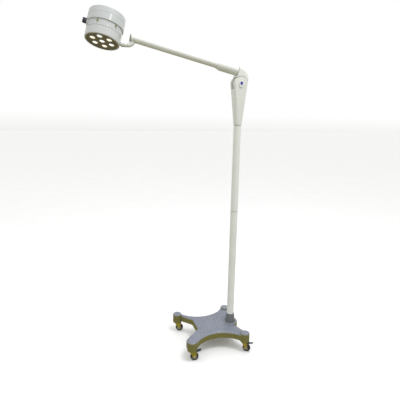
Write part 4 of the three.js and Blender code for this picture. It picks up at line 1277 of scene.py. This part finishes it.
def lens_places():
    places = [(0.0, 0.0)]
    for i in range(6):
        angle = math.radians(LENS_ANGLE + 60 * i)
        places.append((LENS_RING * math.cos(angle), LENS_RING * math.sin(angle)))
    return places


def build_optics():
    panel_r = RING_R - 3 - GAP
    panel_profile = [(0, 2.8), (panel_r, 2.8, 0.5), (panel_r, 6, 0.5), (0, 6)]
    hole_profile = [
        (0, 0),
        (LENS_R + 2.2, 0),
        (LENS_R + 2.2, 2.6),
        (LENS_R + GAP, 4.2),
        (LENS_R + GAP, 9),
        (0, 9),
    ]
    lens_profile = [
        (0, 0.5),
        (4.2, 0.9, 3),
        (4.6, 1.5, 0.2),
        (8.8, 1.9, 2),
        (9.2, 2.5, 0.2),
        (LENS_R, 4.0, 1.0),
        (LENS_R, 6.3),
        (LENS_R + 2.5, 6.3, 0.3),
        (LENS_R + 2.5, 8.9, 0.3),
        (0, 8.9),
    ]
    panel = lathe("reflector_plate_fine", panel_profile, 144)
    holes = [moved(lathe("hole", hole_profile, 72), shift(x, y, 0)) for x, y in lens_places()]
    stands_for("reflector_plate", cut(panel, *holes), HEAD)
    for number, (x, y) in enumerate(lens_places(), 1):
        node = "lens_%d" % number
        lens = lathe(node + "_fine", lens_profile, 72)
        stands_for(node, lens, HEAD @ shift(x, y, 0), look="warm_lens" if number in WARM_LENSES else "lens")


def build_dimmer():
    out = DIMMER @ ALONG_X
    low, high = DIMMER_BACK, DIMMER_FRONT
    profile = [(0, low), (DIMMER_R, low, 0.5), (DIMMER_R, high, 2.2), (0, high)]
    boss = lathe("dimmer_boss_fine", profile, 96, 8)
    joined(boss, box("case", (-9, -9, low - 12), (9, 9, low + 1)))
    cut(boss, rod("bore", SHAFT_R + RUN, 70, 100, 40))
    stands_for("dimmer_boss", boss, out)
    for i in range(DIMMER_MARKS):
        mark = box("dimmer_mark_%d" % (i + 1), (16, -0.3, high - 0.1), (17.6, 0.3, high + 0.1))
        mark.data.transform(turn(-135 + 27 * i, "Z"))
        dressed(mark, out, "head", "badge")
    back = high + 0.4
    front = back + KNOB_LENGTH
    knob_levels = [
        (back, KNOB_R - 1.8),
        (back + 0.5, KNOB_R - 0.9),
        (back + 1.8, KNOB_R - 0.1),
        (back + 10, KNOB_R - 0.5),
        (front - 1.7, KNOB_R - 1.1),
        (front - 0.4, KNOB_R - 1.9),
        (front, KNOB_R - 3),
    ]
    rings = []
    for z, radius in knob_levels:
        ring_points = []
        for x, y in circle(0, 0, 1, KNOB_SIDES):
            lobe = 1 - KNOB_LOBE_DEPTH * (1 - math.cos(KNOB_LOBES * math.atan2(y, x))) / 2
            ring_points.append((radius * lobe * x, radius * lobe * y, z))
        rings.append(ring_points)
    knob = skin("dimmer_knob_fine", rings)
    joined(knob, rod("shaft", SHAFT_R, 72, back + 1, 40, 0.4))
    pointer = box("pointer", (4, -0.6, front - 0.4), (12.5, 0.6, front + 1))
    stands_for("dimmer_knob", cut(knob, pointer), out, 40)


def build_head():
    build_lower_ring()
    build_waist()
    build_cover()
    build_optics()
    build_dimmer()
    for angle in (36.5, 156.5, 276.5):
        screw("ring_screw_%d" % angle, angle, RING_TOP + 4, WAIST_R)
    for angle in (SEAM_ANGLE - 120, SEAM_ANGLE, SEAM_ANGLE + 120):
        screw("cover_screw_%d" % (angle % 360), angle, TIER_Z + 6, COVER_R - 0.5)


# ---- room ----

CAMERA_PLACE = (-917.2, -2081.7, 1408.1)  # from the foot of the pole
CAMERA_HEADING = 18.54
CAMERA_PITCH = 12.5
CAMERA_ROLL = 1.1
CAMERA_LENS = 34.65
FLOOR_HALF = 30.0  # metres
FLOOR_GLOW = (0.36, 0.34, 0.22)  # the dim warm light that comes up from the floor


def build_camera():
    data = bpy.data.cameras.new("camera")
    data.lens = CAMERA_LENS
    data.sensor_width = 36
    camera = bpy.data.objects.new("camera", data)
    bpy.context.scene.collection.objects.link(camera)
    aim = turn(-CAMERA_HEADING, "Z") @ turn(90 - CAMERA_PITCH, "X") @ turn(CAMERA_ROLL, "Z")
    camera.matrix_world = POLE @ shift(*CAMERA_PLACE) @ aim
    bpy.context.scene.camera = camera


def area_light(name, place, target, size, power, colour):
    data = bpy.data.lights.new(name, "AREA")
    data.shape = "DISK"
    data.size = size
    data.energy = power
    data.color = colour
    light = bpy.data.objects.new(name, data)
    bpy.context.scene.collection.objects.link(light)
    light.location = place
    light.rotation_euler = (Vector(target) - Vector(place)).to_track_quat("-Z", "Y").to_euler()
    light.visible_camera = False


def build_room():
    corners = [(x * FLOOR_HALF, y * FLOOR_HALF, 0) for x, y in ((-1, -1), (1, -1), (1, 1), (-1, 1))]
    floor = made("floor", corners, [(0, 1, 2, 3)])
    nodes = Nodes("pale floor")
    pale = nodes.ramp(nodes.noise(3.0), (0.3, (0.90, 0.90, 0.89)), (0.7, (0.92, 0.92, 0.91)))
    floor.data.materials.append(nodes.set(Base_Color=pale, Roughness=0.7))
    floor.visible_diffuse = False
    floor.visible_glossy = False

    world = bpy.data.worlds.new("studio")
    world.use_nodes = True
    tree = world.node_tree
    direction = tree.nodes.new("ShaderNodeTexCoord").outputs["Generated"]
    split = tree.nodes.new("ShaderNodeSeparateXYZ")
    tree.links.new(direction, split.inputs["Vector"])
    height = tree.nodes.new("ShaderNodeMapRange")
    height.inputs["From Min"].default_value = -0.25
    height.inputs["From Max"].default_value = 0.0
    tree.links.new(split.outputs["Z"], height.inputs["Value"])
    sky = tree.nodes.new("ShaderNodeValToRGB")
    sky.color_ramp.elements[0].color = (*FLOOR_GLOW, 1)
    sky.color_ramp.elements[1].color = (1, 1, 1, 1)
    tree.links.new(height.outputs["Result"], sky.inputs["Fac"])
    tree.links.new(sky.outputs["Color"], tree.nodes["Background"].inputs["Color"])
    bpy.context.scene.world = world

    area_light("key", (1.1, -1.1, 4.3), (0, 0, 1.0), 1.6, 70, (0.94, 0.97, 1.0))
    bpy.context.scene.view_settings.view_transform = "Standard"


build_camera()
build_base()
build_casters()
build_pole()
build_column()
build_arm()
build_balance_rod()
build_balance_spring()
build_bracket()
build_clevis()
build_head()
for node, slot in SLOTS.items():
    frame["nodes"][node].data.materials.clear()
    frame["nodes"][node].data.materials.append(MATERIALS[slot])
build_room()
